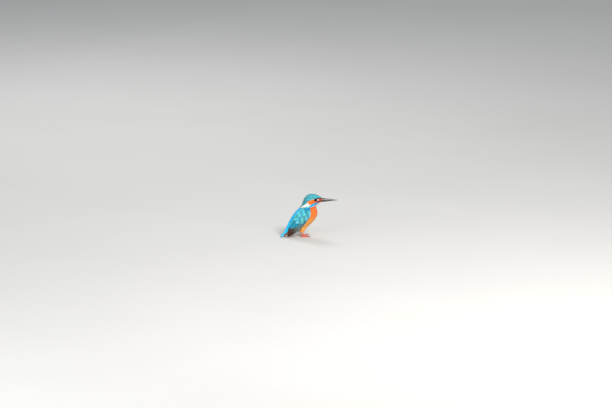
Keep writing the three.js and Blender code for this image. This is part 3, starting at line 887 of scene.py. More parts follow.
def quill(sheet, root, tip, bow, halves, heights, point):
    """The upper and lower side of one long feather on a sheet, and how far along and across each place is."""
    t = 1 - (1 - np.linspace(0, 1, QUILL_ROWS)) ** 1.25
    length = math.dist(root, tip)
    ahead = np.subtract(tip, root) / length
    rounded = point * max(halves) / length  # share of its length over which its tip narrows
    full = (0.3 + 0.7 * smooth(0.0, 0.14, t)) * (1 - np.clip((t - 1 + rounded) / rounded, 0, 1) ** 2) ** 0.5
    widths = []
    for half in halves:
        splits = quill_rng.uniform(0.35, 0.97, 2)
        depths = quill_rng.uniform(0.04, 0.20, 2)
        ragged = 1 - sum(d * np.exp(-((t - s) / 0.007) ** 2) for s, d in zip(splits, depths))
        widths.append(half * full * ragged * (1 + quill_rng.normal(0, 0.004, QUILL_ROWS)))
    v = QUILL_COLUMNS[None, :]
    width = np.where(v < 0, widths[0][:, None], widths[1][:, None])
    forward = length * t[:, None] + BARB_SWEEP * np.abs(v) * width
    aside = bow * np.sin(math.pi * t)[:, None] + v * width
    p = root[0] + ahead[0] * forward - ahead[1] * aside
    q = root[1] + ahead[1] * forward + ahead[0] * aside
    point_on, _, _, out = sheet_axes(sheet, p, q)
    height = heights[0] + (heights[1] - heights[0]) * t[:, None] - 0.05 * v ** 2 * width
    tilt, shift = quill_rng.normal(0, 0.04), quill_rng.uniform(0, 6)
    height = height + tilt * v + 0.012 * np.sin(forward * 1.3 + shift) * v ** 2
    ridge = SHAFT_RISE * np.clip(1 - np.abs(v) / 0.05, 0, 1) * (1 - 0.75 * t[:, None])
    upper = point_on + out * (height + ridge)[..., None]
    lower = point_on + out * (height - QUILL_THICK)[..., None]
    return upper, lower, np.stack(np.broadcast_arrays(length * t[:, None], v), -1)


def blade(upper, lower):
    """A closed blade between two grids of points, with a map of its two sides and rim within one square."""
    rows, columns = upper.shape[:2]
    number = np.arange(rows * columns).reshape(rows, columns)
    under = number + rows * columns
    t = np.linspace(0.01, 0.985, rows)
    s = np.linspace(0, 1, columns)
    on_top = np.stack(np.meshgrid(t, 0.05 + 0.41 * s, indexing="ij"), -1)
    on_under = np.stack(np.meshgrid(t, 0.96 - 0.41 * s, indexing="ij"), -1)

    def strip(a, b, uv_a, uv_b):
        """The faces between two lines of points, and their corners' places in the map."""
        corners = np.stack([a[:-1], a[1:], b[1:], b[:-1]], -1)
        return corners, np.stack([uv_a[:-1], uv_a[1:], uv_b[1:], uv_b[:-1]], 1)

    pairs = [(j, j + 1) for j in range(columns - 1)]
    strips = [strip(number[:, j], number[:, k], on_top[:, j], on_top[:, k]) for j, k in pairs]
    strips += [strip(under[:, k], under[:, j], on_under[:, k], on_under[:, j]) for j, k in pairs]
    strips += [
        strip(under[:, 0], number[:, 0], np.stack([t, np.full(rows, 0.01)], -1), on_top[:, 0]),
        strip(number[:, -1], under[:, -1], on_top[:, -1], on_under[:, -1]),
        strip(number[0], under[0], on_top[0], on_top[0] - (0.01, 0)),
        strip(under[-1], number[-1], on_top[-1] + (0.015, 0), on_top[-1]),
    ]
    faces, uv = (np.concatenate(part) for part in zip(*strips))
    return np.vstack([upper.reshape(-1, 3), lower.reshape(-1, 3)]), faces, uv


def quill_piece(name, side, blades):
    """One piece of many long feathers, each with its own strip of the map."""
    points, faces, maps, vanes, colours, start = [], [], [], [], [], 0
    for number, (upper, lower, vane, colour) in enumerate(blades):
        own, corners, uv = blade(upper, lower)
        own = own * (1, side, 1)
        if turned_out(own, [corners])[0] is not corners:
            corners, uv = corners[:, ::-1], uv[:, ::-1]
        points.append(own)
        faces.append(corners + start)
        maps.append(np.stack([uv[..., 0], (number + uv[..., 1]) / len(blades)], -1).reshape(-1, 2))
        vanes.append(np.tile(vane.reshape(-1, 2), (2, 1)) + (number * 100, 0))
        colours.append(np.tile(colour.reshape(-1, 3), (2, 1)))
        start += len(own)
    return mesh_piece(
        name, np.vstack(points), [np.concatenate(faces)],
        uvs=[("OFBake", np.concatenate(maps)), ("Vane", np.vstack(vanes))],
        colours=[("Ground", np.vstack(colours))],
    )


def between(share, start, end):
    """What lies a share of the way from a start to an end."""
    return np.asarray(start) + (np.asarray(end) - np.asarray(start)) * np.asarray(share)[..., None]


def greyed(tree, level):
    """A grey of a given level, to multiply a colour with."""
    tint = add_node(tree, "ShaderNodeCombineColor")
    for socket in tint.inputs[:3]:
        tree.links.new(level, socket)
    return tint.outputs[0]


def quill_finish(name, roughness, shaft_colour):
    """The finish of long feathers: fine slanting barbs, a smooth darker shaft and a slight sheen."""
    finish, tree, shader = new_finish(name, roughness, Specular_IOR_Level=0.25, Sheen_Weight=0.05)
    place = in_map(tree, "Vane")
    along, across, _ = parted(tree, place)
    lines = worked(tree, "SINE", worked(tree, "MULTIPLY", along, QUILL_BARBS))
    uneven = noise(tree, place, 1.0, 4.0, stretch=(6.0, 1.2, 1.0))
    barbs = worked(tree, "ADD", worked(tree, "MULTIPLY", lines, 0.25), uneven)
    shade = greyed(tree, ranged(tree, barbs, 0.2, 0.9, 0.72, 1.12))
    webbed = blended(tree, 1.0, attribute(tree, "Ground"), shade, "MULTIPLY")
    on_shaft = ranged(tree, worked(tree, "ABSOLUTE", across), 0.035, 0.07, 1.0, 0.0)
    coloured(tree, shader, blended(tree, on_shaft, webbed, shaft_colour))
    bumped(tree, shader, barbs, 0.35, 0.00005)
    return finish


def tail_sheet(p, q):
    """The roof of the tail: p along it from its root, q across it to the left."""
    half = np.clip(TAIL_HALF + TAIL_WIDENS * p / TAIL_SPAN, 4, 12)
    fall = TAIL_ROOF * (q / half) ** 2
    return TAIL_ROOT + p[..., None] * TAIL_ALONG + q[..., None] * [0, 1.0, 0] - fall[..., None] * TAIL_UP


tail_blades = []
for pair in reversed(range(TAIL_PAIRS)):
    for side in (1, -1):
        spread = side * (pair + 0.5)
        reach = TAIL_LENGTH - 0.030 * (spread * 1.4) ** 2 - 0.10 * pair
        halves = TAIL_WEBS[::side] if pair else MIDDLE_WEBS
        root, tip = (1.0, spread * TAIL_ROOT_GAP), (reach, spread * TAIL_TIP_GAP)
        heights = (-0.15 - 0.16 * pair, -0.10 - 0.13 * pair)
        upper, lower, vane = quill(tail_sheet, root, tip, 0.0, halves, heights, 1.3)
        outward = vane[..., 1] * side if pair else np.abs(vane[..., 1])
        colour = between(smooth(0.0, 0.7, outward), paint(10, 144, 198), paint(76, 212, 242))
        upper[..., 2] = np.maximum(upper[..., 2], 0.12)
        lower[..., 2] = np.maximum(lower[..., 2], 0.02)
        tail_blades.append((upper, lower, vane, colour))
tail_finish = quill_finish("blue tail quill", 0.42, (0.012, 0.02, 0.05, 1))
settle(quill_piece("tail_quills", 1, tail_blades), tail_finish, "tail_feathers", "tail")

# ---------------------------------------------------------------------------------- the wings
# Each wing is folded along the flank: ten slate primaries to its tip, twelve secondaries and four
# tertials stacked over them with blue-green outer webs, and rows of coverts over their roots, tipped
# with pale spots. The right wing is made in its own plane, a along it from the bend and b across it
# towards the back, and the left is its mirror image.
WING_BEND, WING_TIP = np.array([0, 0, 62.0]), np.array([-50.5, 0, 2.9])
WING_LENGTH = float(np.linalg.norm(WING_TIP - WING_BEND))
WING_ALONG = unit(WING_TIP - WING_BEND)
WING_ACROSS = np.array([WING_ALONG[2], 0, -WING_ALONG[0]])
WING_OUTLINE = [
    # share of the length, lower edge, upper edge, half width of the folded pair, thickness
    [0.0, -1.4, 1.8, 19.8, 2.2],
    [0.05, -4.8, 6.0, 20.8, 2.9],
    [0.16, -8.0, 11.6, 22.2, 3.5],
    [0.33, -9.4, 15.0, 22.5, 3.6],
    [0.5, -8.8, 15.2, 20.6, 3.2],
    [0.66, -7.3, 14.2, 17.6, 2.7],
    [0.8, -5.6, 11.6, 14.8, 2.2],
    [0.92, -3.8, 6.6, 12.2, 1.6],
    [1.0, -1.4, 1.6, 10.6, 1.0],
]
PRIMARY_TIPS = [
    (61.5, 9.6), (64.6, 8.6), (67.4, 7.2), (70.0, 5.8), (72.4, 4.3),
    (74.6, 2.8), (76.4, 1.4), (77.4, 0.2), (76.6, -1.0), (73, -2.4),
]
SECONDARIES = 12
TERTIAL_TIPS = [(59, 8.8), (55.5, 9.6), (51, 10.3), (46, 10.8)]
LEAN_IN = 4.5  # of the wing's upper edge towards the rump
TRACE_STEPS = 7  # in which a small feather follows the lie of the coat
BARB_LINES = 2  # fine barbs drawn between one free barb and the next
BRIGHTEST = 0.96  # no feather throws back more of the light than this
RAGGED = 0.05  # how far, as a share of the feather, the edge of its mark wavers
VANES_APART = 7.3  # in their map, so that no two feathers are streaked alike
# Waves over x and z, and where each begins, that add up to soft patches of painted sheen.
AZURE_SHEEN_WAVES = [(0.62, 0.35, 1.0), (-0.38, 0.71, 2.0), (0.30, -0.21, 0.0)]
PALE_SHEEN_WAVES = [(1.25, 0.70, 0.0), (-0.95, 1.10, 1.3), (0.55, 0.15, 0.4)]
WING_GREEN, WING_AZURE, FLECK = paint(6, 146, 136), paint(0, 152, 198), paint(176, 246, 250)
PALE_GREEN, PALE_BLUE, DIM_FLECK = paint(120, 206, 190), paint(96, 206, 232), paint(80, 170, 190)
COVERT_ROWS = 19
COVERT_GAP = 1.1  # between the first rows of coverts, at the bend
COVERT_GROWTH = 1.055  # of one gap over the one before
EDGE_ROOM = 1.0  # between the wing's lower edge and the roots of the coverts along it


def wing_shape(a):
    """The wing's lower edge, upper edge, half width and thickness at a distance along it."""
    shares = [row[0] for row in WING_OUTLINE]
    evenly = np.interp(a / WING_LENGTH, shares, np.linspace(0, 1, len(shares)))
    return np.moveaxis(through_rows(WING_OUTLINE, evenly), -1, 0)[1:]


def wing_out(a, b):
    """How far the folded wing's outside lies from the middle of the bird."""
    lean = LEAN_IN * smooth(34, 56, a) * smooth(1.0, 14.0, b)
    return wing_shape(a)[2] * np.sqrt(np.maximum(1 - ((b + 1.5) / 25) ** 2, 0.1)) - lean


def wing_sheet(a, b):
    """The outside of the right wing."""
    flat = WING_BEND + a[..., None] * WING_ALONG + b[..., None] * WING_ACROSS
    return flat - wing_out(a, b)[..., None] * [0, 1.0, 0]


def wing_blades():
    """The right wing's long feathers, from the lowest of the stack to the highest."""
    blades = []
    for i in reversed(range(len(PRIMARY_TIPS))):
        t = i / (len(PRIMARY_TIPS) - 1)
        upper, lower, vane = quill(
            wing_sheet, (6 + 10 * t, -4.6 - 3.0 * t), PRIMARY_TIPS[i], -2.2 - 2.5 * t, (1.7, 4.0),
            (-1.5 - 0.9 * t, -0.75 - 0.7 * t), 2.0,
        )
        past = smooth(32, 56, vane[..., 0])
        web = between(past, paint(96, 96, 88), paint(56, 22, 12))
        outer = smooth(0.0, 0.6, -vane[..., 1])[..., None]
        edged = between(past, paint(104, 138, 138), paint(76, 36, 24))
        blades.append((upper, lower, vane, web + (edged - web) * outer))
    for i in range(SECONDARIES):
        t = i / (SECONDARIES - 1)
        upper, lower, vane = quill(
            wing_sheet, (4 + 6 * t, -3.5 + 13 * t), (50 + 11 * t, 3.2 + 6.4 * t), -1.8 * (1 - t), (2.0, 2.8),
            (-1.2 + 0.4 * t, -0.75 + 0.35 * t), 1.25,
        )
        outer = smooth(-0.6, 0.2, -vane[..., 1]) * (1 - smooth(0.95, 1.0, vane[..., 0] / vane[..., 0].max()))
        blades.append((upper, lower, vane, between(outer, paint(8, 74, 92), paint(0, 140, 172))))
    for i, tip in enumerate(TERTIAL_TIPS):
        root, heights = (10 + 2.0 * i, 8.6 + 0.7 * i), (-0.7 + 0.1 * i, -0.35 + 0.1 * i)
        upper, lower, vane = quill(wing_sheet, root, tip, 0.6, (3.1, 2.8), heights, 1.2)
        web = smooth(0.0, 0.6, np.abs(vane[..., 1]))
        blades.append((upper, lower, vane, between(web, paint(0, 96, 122), paint(0, 150, 178))))
    return blades


wing_finish = quill_finish("firm wing quill", 0.44, (0.010, 0.012, 0.014, 1))
right_blades = wing_blades()
for side, hand in ((-1, "left"), (1, "right")):
    quills = quill_piece(f"wing_{hand}_quills", side, right_blades)
    settle(quills, wing_finish, "wing_feathers", f"wing_{hand}")


def feather_plan(seed, barbs, aspect, bare, free, loose=0.03):
    """The plan of a small feather: a shaft, and a web on both sides whose barbs come free at its outline.

    aspect is its length over half its width, bare the share of its length below the web, and free the
    share of a barb that stands clear of the next. The web's lower part, which others cover, is whole.
    """
    rng = np.random.default_rng(seed)
    reach = np.linspace(0, 1, 200)
    broad = (1 - np.abs(reach - 0.45) ** 2.4 / np.where(reach < 0.45, 0.45, 0.55) ** 2.4) ** 0.5
    strides = np.hypot(np.diff(reach) * (1 - bare) * aspect, np.diff(broad))
    outline = np.concatenate([[0], np.cumsum(strides)]) / strides.sum()
    spots = np.concatenate([[0, 0.15, 0.30, 0.42], np.linspace(0.52, 1, barbs - 3)])
    points = [(0, -0.05, 0.02), (0, 0.05, 0.02), (0.5, -0.04, 0.03), (0.5, 0.04, 0.03), (0.97, 0, 0.02)]
    vanes = [(-4, 0), (-3.6, 0), (-4, 0.5), (-3.6, 0.5), (-3.8, 1)]
    faces = [(0, 1, 3), (0, 3, 2), (2, 3, 4)]

    def on_barb(spot, share):
        """Where a share of the barb that ends at a spot of the outline lies, along and across."""
        end = np.interp(spot, outline, reach)
        foot = max(bare + (1 - bare) * (end - 0.34 * (1 - 0.45 * end)), 0.02)
        run = bare + (1 - bare) * end - foot
        return foot + run * share ** 1.3, np.interp(spot, outline, broad) * share ** 0.8

    for side in (-1, 1):
        first = len(points)
        for number, spot in enumerate(spots):
            lift = rng.normal(0, 0.012)
            for share in (0, 1 - free):
                along, across = on_barb(spot, share)
                points.append((along, side * across, lift * share))
                vanes.append((number + (side > 0) * (barbs + 2), share))
        for number in range(barbs):
            low, high, tip = first + 2 * number, first + 2 * number + 2, len(points)
            spot = (spots[number] + spots[number + 1]) / 2 + rng.normal(0, loose) / barbs
            along, across = on_barb(spot, 1 + rng.normal(0, loose))
            points.append((along, side * across, rng.normal(0, 0.025)))
            vanes.append((number + 0.5 + (side > 0) * (barbs + 2), 1))
            faces.extend([(low, low + 1, high + 1), (low, high + 1, high), (low + 1, tip, high + 1)])
    points, faces = np.array(points), np.array(faces)
    a, b, c = (points[faces[:, k], :2] for k in range(3))
    anticlockwise = np.cross(b - a, c - a) > 0
    faces[anticlockwise] = faces[anticlockwise][:, ::-1]
    return points, faces, np.array(vanes)


def straight(point, ahead, aside):
    """The lie of feathers that nothing turns from their way."""
    return 0.0


def traced(sheet, lie, feathers):
    """Where each feather's shaft runs over the sheet, and which way is across it, step by step."""
    p, q = feathers["p"].copy(), feathers["q"].copy()
    stride = feathers["length"] / TRACE_STEPS
    nodes = []
    for _ in range(TRACE_STEPS + 1):
        point, with_p, with_q, _ = sheet_axes(sheet, p, q)
        size_p = np.linalg.norm(with_p, axis=-1)
        ahead = with_p / size_p[..., None]
        shear = (with_q * ahead).sum(-1)
        rest = with_q - shear[..., None] * ahead
        size_q = np.linalg.norm(rest, axis=-1)
        angle = feathers["heading"] + lie(point, ahead, rest / size_q[..., None])
        c, s = np.cos(angle), np.sin(angle)
        nodes.append((p, q, -s / size_p - c * shear / (size_p * size_q), c / size_q))
        p = p + stride * (c / size_p - s * shear / (size_p * size_q))
        q = q + stride * s / size_q
    return np.array(nodes)


def lay_feathers(name, sheet, feathers, plans, lie=straight, press=None, side=1):
    """One piece of many small feathers that lie on a sheet, each from its root along the lie of the coat.

    Every entry of feathers has one value for each: its root p and q, heading, length, width, how high
    its root and its tip lie, how far its tip curls up, its ground colour and its mark's colour and strength.
    """
    rng = np.random.default_rng(len(feathers["p"]))
    kinds = rng.integers(len(plans), size=len(feathers["p"]))
    corner = np.array([feathers["q"].min(), feathers["p"].min()])
    reach = np.array([feathers["q"].max(), feathers["p"].max()]) - corner
    points, faces, maps, vanes, plans_at, grounds, marks, start = [], [], [], [], [], [], [], 0
    for kind, (plan, plan_faces, plan_vane) in enumerate(plans):
        own = {key: value[kinds == kind] for key, value in feathers.items()}
        count = len(own["p"])
        if not count:
            continue
        nodes = traced(sheet, lie, own)
        x, y, z = (plan[:, k, None] for k in range(3))
        first = np.clip((x[:, 0] * TRACE_STEPS).astype(int), 0, TRACE_STEPS - 1)
        part = x * TRACE_STEPS - first[:, None]
        here, beyond = nodes[first], nodes[first + 1]
        p, q, across_p, across_q = (here[:, k] * (1 - part) + beyond[:, k] * part for k in range(4))
        offset = y * own["width"] / 2
        point, _, _, out = sheet_axes(sheet, p + across_p * offset, q + across_q * offset)
        height = own["low"] + (own["high"] - own["low"]) * x + own["curl"] * smooth(0.55, 1.0, x) + z
        height = height - 0.06 * own["width"] * y ** 2 + rng.normal(0, 0.025, count) * own["width"] * y
        point = point + out * height[..., None]
        if press:
            point = press(point, height, own)
        points.append((point * (1, side, 1)).reshape(-1, 3))
        way = 1 if side > 0 else -1
        corners = plan_faces[:, None, ::way] * count + np.arange(count)[None, :, None]
        faces.append(corners.reshape(-1, 3) + start)
        root = (np.stack([own["q"], own["p"]], -1) - corner) / reach * 0.94 + 0.03
        patch = np.stack([y, x * 2 - 1], -1) * 0.0015
        maps.append((root[None] + patch).reshape(-1, 2))
        barb_at = plan_vane[:, :1] + np.arange(count) * VANES_APART
        vanes.append(np.stack([barb_at, plan_vane[:, 1:] + np.zeros(count)], -1))
        plans_at.append(np.stack(np.broadcast_arrays(x, y * 0.5 + 0.5), -1).repeat(count, 1))
        grounds.append(np.tile(np.clip(own["ground"], 0, BRIGHTEST), (len(plan), 1)))
        marks.append(np.tile(np.clip(own["mark"], 0, BRIGHTEST), (len(plan), 1)))
        start += len(plan) * count
    return mesh_piece(
        name, np.vstack(points), [np.concatenate(faces)],
        uvs=[("OFBake", np.vstack(maps)), ("Vane", np.concatenate([v.reshape(-1, 2) for v in vanes])),
             ("Plan", np.concatenate([v.reshape(-1, 2) for v in plans_at]))],
        colours=[("Ground", np.vstack(grounds)), ("Mark", np.vstack(marks))],
    )


def feather_finish(name, roughness, mark_from, mark_to, spot=0.0, sheen=0.25, depth=0.5):
    """The finish of small feathers: barbs of uneven shade, with a mark that comes in along the feather.

    A spot keeps the mark to the middle of the tip, its number being its width. depth is how bright the
    feather is painted at its root, a painted shade for where the others cover it.
    """
    finish, tree, shader = new_finish(
        name, roughness, Specular_IOR_Level=0.2, Sheen_Weight=sheen, Sheen_Roughness=0.5,
    )
    barb, plan = in_map(tree, "Vane"), parted(tree, in_map(tree, "Plan"))
    lines = worked(tree, "SINE", worked(tree, "MULTIPLY", parted(tree, barb)[0], FULL_TURN * BARB_LINES))
    uneven = noise(tree, barb, 1.0, 3.0, stretch=(2.6, 1.0, 1.0))
    along = worked(tree, "ADD", plan[0], worked(tree, "MULTIPLY", uneven, 2 * RAGGED))
    marked = ranged(tree, along, mark_from[0] + RAGGED, mark_from[1] + RAGGED)
    if mark_to:
        unended = ranged(tree, along, mark_to[0] + RAGGED, mark_to[1] + RAGGED, 1.0, 0.0)
        marked = worked(tree, "MULTIPLY", marked, unended)
    if spot:
        aside = worked(tree, "ABSOLUTE", worked(tree, "SUBTRACT", plan[1], 0.5))
        marked = worked(tree, "MULTIPLY", marked, ranged(tree, aside, spot * 0.35, spot * 0.6, 1.0, 0.0))
    strength = worked(tree, "MULTIPLY", marked, attribute(tree, "Mark", "Alpha"))
    painted = blended(tree, strength, attribute(tree, "Ground"), attribute(tree, "Mark"))
    # painted shade: each feather darker towards its root, where the others cover it
    root_shade = ranged(tree, plan[0], 0.25, 0.75, depth, 1.0)
    clouded = ranged(tree, uneven, 0.25, 0.75, 0.76, 1.16)
    streaked = worked(tree, "MULTIPLY", clouded, ranged(tree, lines, -1.0, 0.2, 0.8, 1.0))
    shade = greyed(tree, worked(tree, "MULTIPLY", streaked, root_shade))
    coloured(tree, shader, blended(tree, 1.0, painted, shade, "MULTIPLY"))
    bumped(tree, shader, worked(tree, "ADD", uneven, worked(tree, "MULTIPLY", lines, 0.3)), 0.5, 0.00004)
    return finish


def shimmer(points):
    """Painted sheen: where feathers are painted azure rather than green, and where they are painted pale, in
    soft patches from 0 to 1.
    """
    x, z = points[..., 0], points[..., 2]
    azure, pale = (
        sum(np.sin(by_x * x + by_z * z + start) for by_x, by_z, start in waves)
        for waves in (AZURE_SHEEN_WAVES, PALE_SHEEN_WAVES)
    )
    return smooth(-1.8, 1.8, azure), smooth(-1.8, 1.8, pale)


def wing_ground(azure, pale):
    """The ground of feathers whose colour changes with the light on them, with that painted in: paler and
    darker in patches of painted sheen.
    """
    mixed = between(azure, WING_GREEN, WING_AZURE)
    # painted sheen: lighter and brighter in some patches, darker in others
    paler = (between(azure, PALE_GREEN, PALE_BLUE) - mixed) * 0.5 * smooth(0.5, 1.0, pale)[..., None]
    return (mixed + paler) * np.exp(0.75 * (pale - 0.65))[..., None]


def primary_ground(azure, pale):
    """The darker ground of the feathers over the primaries' roots."""
    return between(azure, paint(6, 84, 100), paint(6, 88, 118))


def covert(sheet, rows):
    """The wing's small feathers from rows of tips on a sheet.

    A row is where its first and last tip lie, how many there are, their length and width, how high
    root and tip lie, their colour and spot, and how far the first and the last slant from the wing's length.
    """
    rng = np.random.default_rng(8)
    laid = []
    for (a0, b0), (a1, b1), count, length, width, low, high, ground, mark, strength, slants in rows:
        for i in range(count):
            t = i / max(count - 1, 1)
            heading = slants[0] * (1 - t) ** 2 + slants[1] * t ** 2 + rng.normal(0, 0.03)
            a = a0 + (a1 - a0) * t + rng.normal(0, 0.25)
            b = b0 + (b1 - b0) * t + rng.normal(0, 0.12)
            own = length * rng.uniform(0.95, 1.05)
            azure, pale = shimmer(sheet(np.array(a), np.array(b)))
            feather = {
                "p": a - own * math.cos(heading), "q": b - own * math.sin(heading), "heading": heading,
                "length": own, "width": width * rng.uniform(0.94, 1.06), "low": low,
                "high": high + rng.normal(0, 0.03), "curl": abs(rng.normal(0, 0.06)),
                "ground": ground(azure, pale) * np.exp(rng.normal(0, 0.12)),
            }
            toned = mark * math.exp(rng.normal(0, 0.06))
            # the spots are painted stronger where the painted sheen is pale
            feather["mark"] = np.append(toned, strength * (0.2 + 0.8 * pale) * rng.uniform(0.6, 1.0))
            laid.append(feather)
    return {key: np.array([feather[key] for feather in laid]) for key in laid[0]}


covert_rows = [
    # the primaries' coverts, the small wing on the thumb, and the secondaries' greater coverts
    ((24.0, -8.2), (36.5, -4.2), 10, 13.0, 3.0, -1.6, -0.45, primary_ground, DIM_FLECK, 0.5, (-0.22, -0.10)),
    ((17.5, -7.2), (24.0, -8.4), 4, 10.0, 3.0, -1.6, -0.15, primary_ground, DIM_FLECK, 0.4, (-0.38, -0.24)),
    ((34.0, -3.0), (47.5, 13.6), 17, 15.0, 3.6, -1.1, -0.25, wing_ground, FLECK, 0.8, (-0.02, -0.02)),
]
for number in reversed(range(COVERT_ROWS)):
    row_gap = COVERT_GAP * COVERT_GROWTH ** number
    reach = COVERT_GAP * (COVERT_GROWTH ** (number + 1) - 1) / (COVERT_GROWTH - 1)
    length = min(3.0 * row_gap + 0.6, reach + 0.6)
    low_edge, high_edge = (float(v) for v in wing_shape(np.array(max(reach - 1.2, 0.4)))[:2])
    low_edge = max(low_edge, -7.6 + max(reach - 17.0, 0) * 0.3)
    low_root, high_root = (float(v) for v in wing_shape(np.array(max(reach - length, 0.0)))[:2])
    # towards the bend the rows fan out, so that their roots stay within the wing's edge
    slant_low = math.asin(min(max((low_edge - low_root - EDGE_ROOM) / length, -0.9), 0.03))
    slant_high = math.asin(max(min((high_edge - high_root) / length, 0.8), 0.03))
    across = 0.9 * row_gap + 0.9
    covert_rows.append((
        (reach, low_edge + 0.3), (reach * 1.26, min(high_edge, 13.8) + 0.4),
        max(round((high_edge - low_edge) / (0.62 * across)), 4), length, across,
        -0.8 - 1.6 * float(smooth(0.0, 6.0, 6.0 - reach)), 0.16 - 0.009 * number, wing_ground, FLECK,
        1.0 - 0.01 * number, (slant_low, slant_high),
    ))
covert_plans = [feather_plan(40 + k, 20, 3.8, 0.22, 0.14, 0.03) for k in range(4)]
covert_finish = feather_finish("spotted wing covert", 0.46, (0.82, 0.87), (0.99, 1.04), spot=0.50, sheen=0.10)
right_coverts = covert(wing_sheet, covert_rows)
for side, hand in ((-1, "left"), (1, "right")):
    coverts = lay_feathers(f"wing_{hand}_coverts", wing_sheet, right_coverts, covert_plans, side=side)
    settle(coverts, covert_finish, "wing_feathers")

# ---------------------------------------------------------------------------------- the coat
# The rest of the plumage: some thousands of small soft feathers in rows from bill to tail, smallest on
# the face, that part round the eye, lap over the wings' upper edges and lie under their lower ones.
COAT_GRID = (420, 150)
EYE_CLEARANCE = 3.0  # between the eye's axis and the nearest roots
EYE_FLOW = 2.9  # how wide a round the coat parts for
FLOW_DEEP, FLOW_FAR, FLOW_TURN = 6, 12, 1.2  # how far from the eye the coat still turns, and its most
LAPPED = 2.4  # how far below the wing's upper edge the roots of feathers that lap over it lie
LAPS_FROM = -1.2  # how far forward on the body they begin
LAPS_TO = 38  # how far along the wing they do so
LAP_CLEARS, LAP_STACKS = 0.5, 0.6  # how far they stand off the wing, and the share of their own height kept
LAP_FLOOR, LAP_DEEP = -0.5, 0.12  # the height below which they keep only this share of it
UNDER_CLEARS, UNDER_STACKS = 0.2, 0.3  # the same for feathers that lie under the wing
LAP_EDGE, UNDER_EDGE = (-3.0, 0.8), (-0.6, 0.6)  # how far within the wing's outline each comes in
HIDDEN_INSIDE = (5, 6)  # within the wing's lower and upper edge, where nothing under it is seen
HIDDEN_ALONG = (7, 70)
# the blue spot before the wing ends at this height, and is painted darker, with duller tips, as painted shade
SHOULDER_TOP, SHOULDER_SHADE, SHOULDER_DULL = 70.5, 0.72, 0.6  # of the blue spot before the wing
# painted shadow: how far out, and to what share, the scapulars in the gap below the blue spot are darkened
SHOULDER_SHADOW_OUT, SHOULDER_SHADOW_SHARE = 12, 0.3  # of the dark gap below it
BREAST_TO_BELLY = (62, 26)  # heights between which the orange changes
TO_VENT = (0.80, 0.94)  # shares of the way to the tail's root
# DOWN_THE_CAP: the x over which the cap is painted darker towards the nape, as painted shade
DOWN_THE_CAP, ACROSS_THE_BACK, DOWN_THE_BACK = (8, -12), (9.5, 3.0), (50, 20)
SHOWN_STEP = 5  # of the steps along a feather, where most of what is seen of it lies
coat_rng = np.random.default_rng(21)


def blurred(grid, times):
    """Numbers on a grid, each drawn towards its neighbours."""
    for _ in range(times):
        wide = np.pad(grid, 1, mode="edge")
        above, below, left, right = wide[:-2, 1:-1], wide[2:, 1:-1], wide[1:-1, :-2], wide[1:-1, 2:]
        grid = (grid * 2 + above + below + left + right) / 6
    return grid


def rows_of_roots(sheet, p_line, q_line, row_gap, gap, closed=False):
    """Roots in rows across the lie of the coat, each row's feathers between those of the row before."""
    point = sheet(*np.meshgrid(p_line, q_line, indexing="ij"))
    steps = np.linalg.norm(np.diff(point, axis=0), axis=-1) / ((row_gap[1:] + row_gap[:-1]) / 2)
    reached = np.vstack([np.zeros(len(q_line)), np.cumsum(steps, axis=0)])
    columns = range(len(q_line))
    found = []
    for row in range(int(reached[-1].max()) + 1):
        p_row = np.array([np.interp(row, reached[:, j], p_line) for j in columns])
        gap_row = np.array([np.interp(p_row[j], p_line, gap[:, j]) for j in columns])
        apart = np.linalg.norm(np.diff(sheet(p_row, q_line), axis=0), axis=-1)
        place = np.concatenate([[0], np.cumsum(apart / ((gap_row[1:] + gap_row[:-1]) / 2))])
        count = max(round(place[-1]), 1)
        odd = row % 2
        spots = (np.arange(count + (not closed and not odd)) + 0.5 * odd) * place[-1] / count
        q = np.interp(spots, place, q_line)
        p = np.interp(q, q_line, p_row)
        kept = np.interp(q, q_line, (reached[-1] >= row).astype(float)) > 0.99
        found.append(np.stack([p, q], 1)[kept])
    return np.vstack(found)


def on_wing(points):
    """Where points lie in the side view of the folded wing: along it, across it, and how far within it."""
    a = (points - WING_BEND) @ WING_ALONG
    b = (points - WING_BEND) @ WING_ACROSS
    low, high, _, _ = wing_shape(a)
    return a, b, np.minimum(np.minimum(b - low, high - b), np.minimum(a + 0.5, WING_LENGTH - a))


def round_the_eye(point, ahead, aside):
    """How far the coat turns from its way to part round the eye and close behind it."""
    turn = 0.0
    for side in (1, -1):
        away = EYE_CENTRE * (1, side, 1) - point
        x, y = -(away * ahead).sum(-1), -(away * aside).sum(-1)
        near = (np.abs(point[..., 1] - EYE_CENTRE[1] * side) < FLOW_DEEP) & (x * x + y * y < FLOW_FAR ** 2)
        r4 = np.maximum((x * x + y * y) ** 2, (EYE_FLOW * 0.9) ** 4)
        flow = np.arctan2(-2 * EYE_FLOW ** 2 * x * y / r4, 1 - EYE_FLOW ** 2 * (x * x - y * y) / r4)
        turn = turn + np.where(near, np.clip(flow, -FLOW_TURN, FLOW_TURN), 0.0)
    return turn


def round_the_wing(point, height, own):
    """Feathers rooted above the wing lie over it, and the others under it."""
    a, b, within = on_wing(point)
    out = wing_out(a, b)
    thick = wing_shape(a)[3]
    y = np.abs(point[..., 1])
    over = out + LAP_CLEARS + LAP_STACKS * np.maximum(height, LAP_FLOOR)
    over = over + LAP_DEEP * np.minimum(height - LAP_FLOOR, 0)
    under = np.minimum(y, out - thick - UNDER_CLEARS + UNDER_STACKS * height)
    lifted = y + np.maximum(over - y, 0) * smooth(*LAP_EDGE, within)
    tucked = y + (under - y) * smooth(*UNDER_EDGE, within)
    moved = point.copy()
    moved[..., 1] = np.sign(point[..., 1]) * np.where(own["over"], lifted, tucked)
    return moved


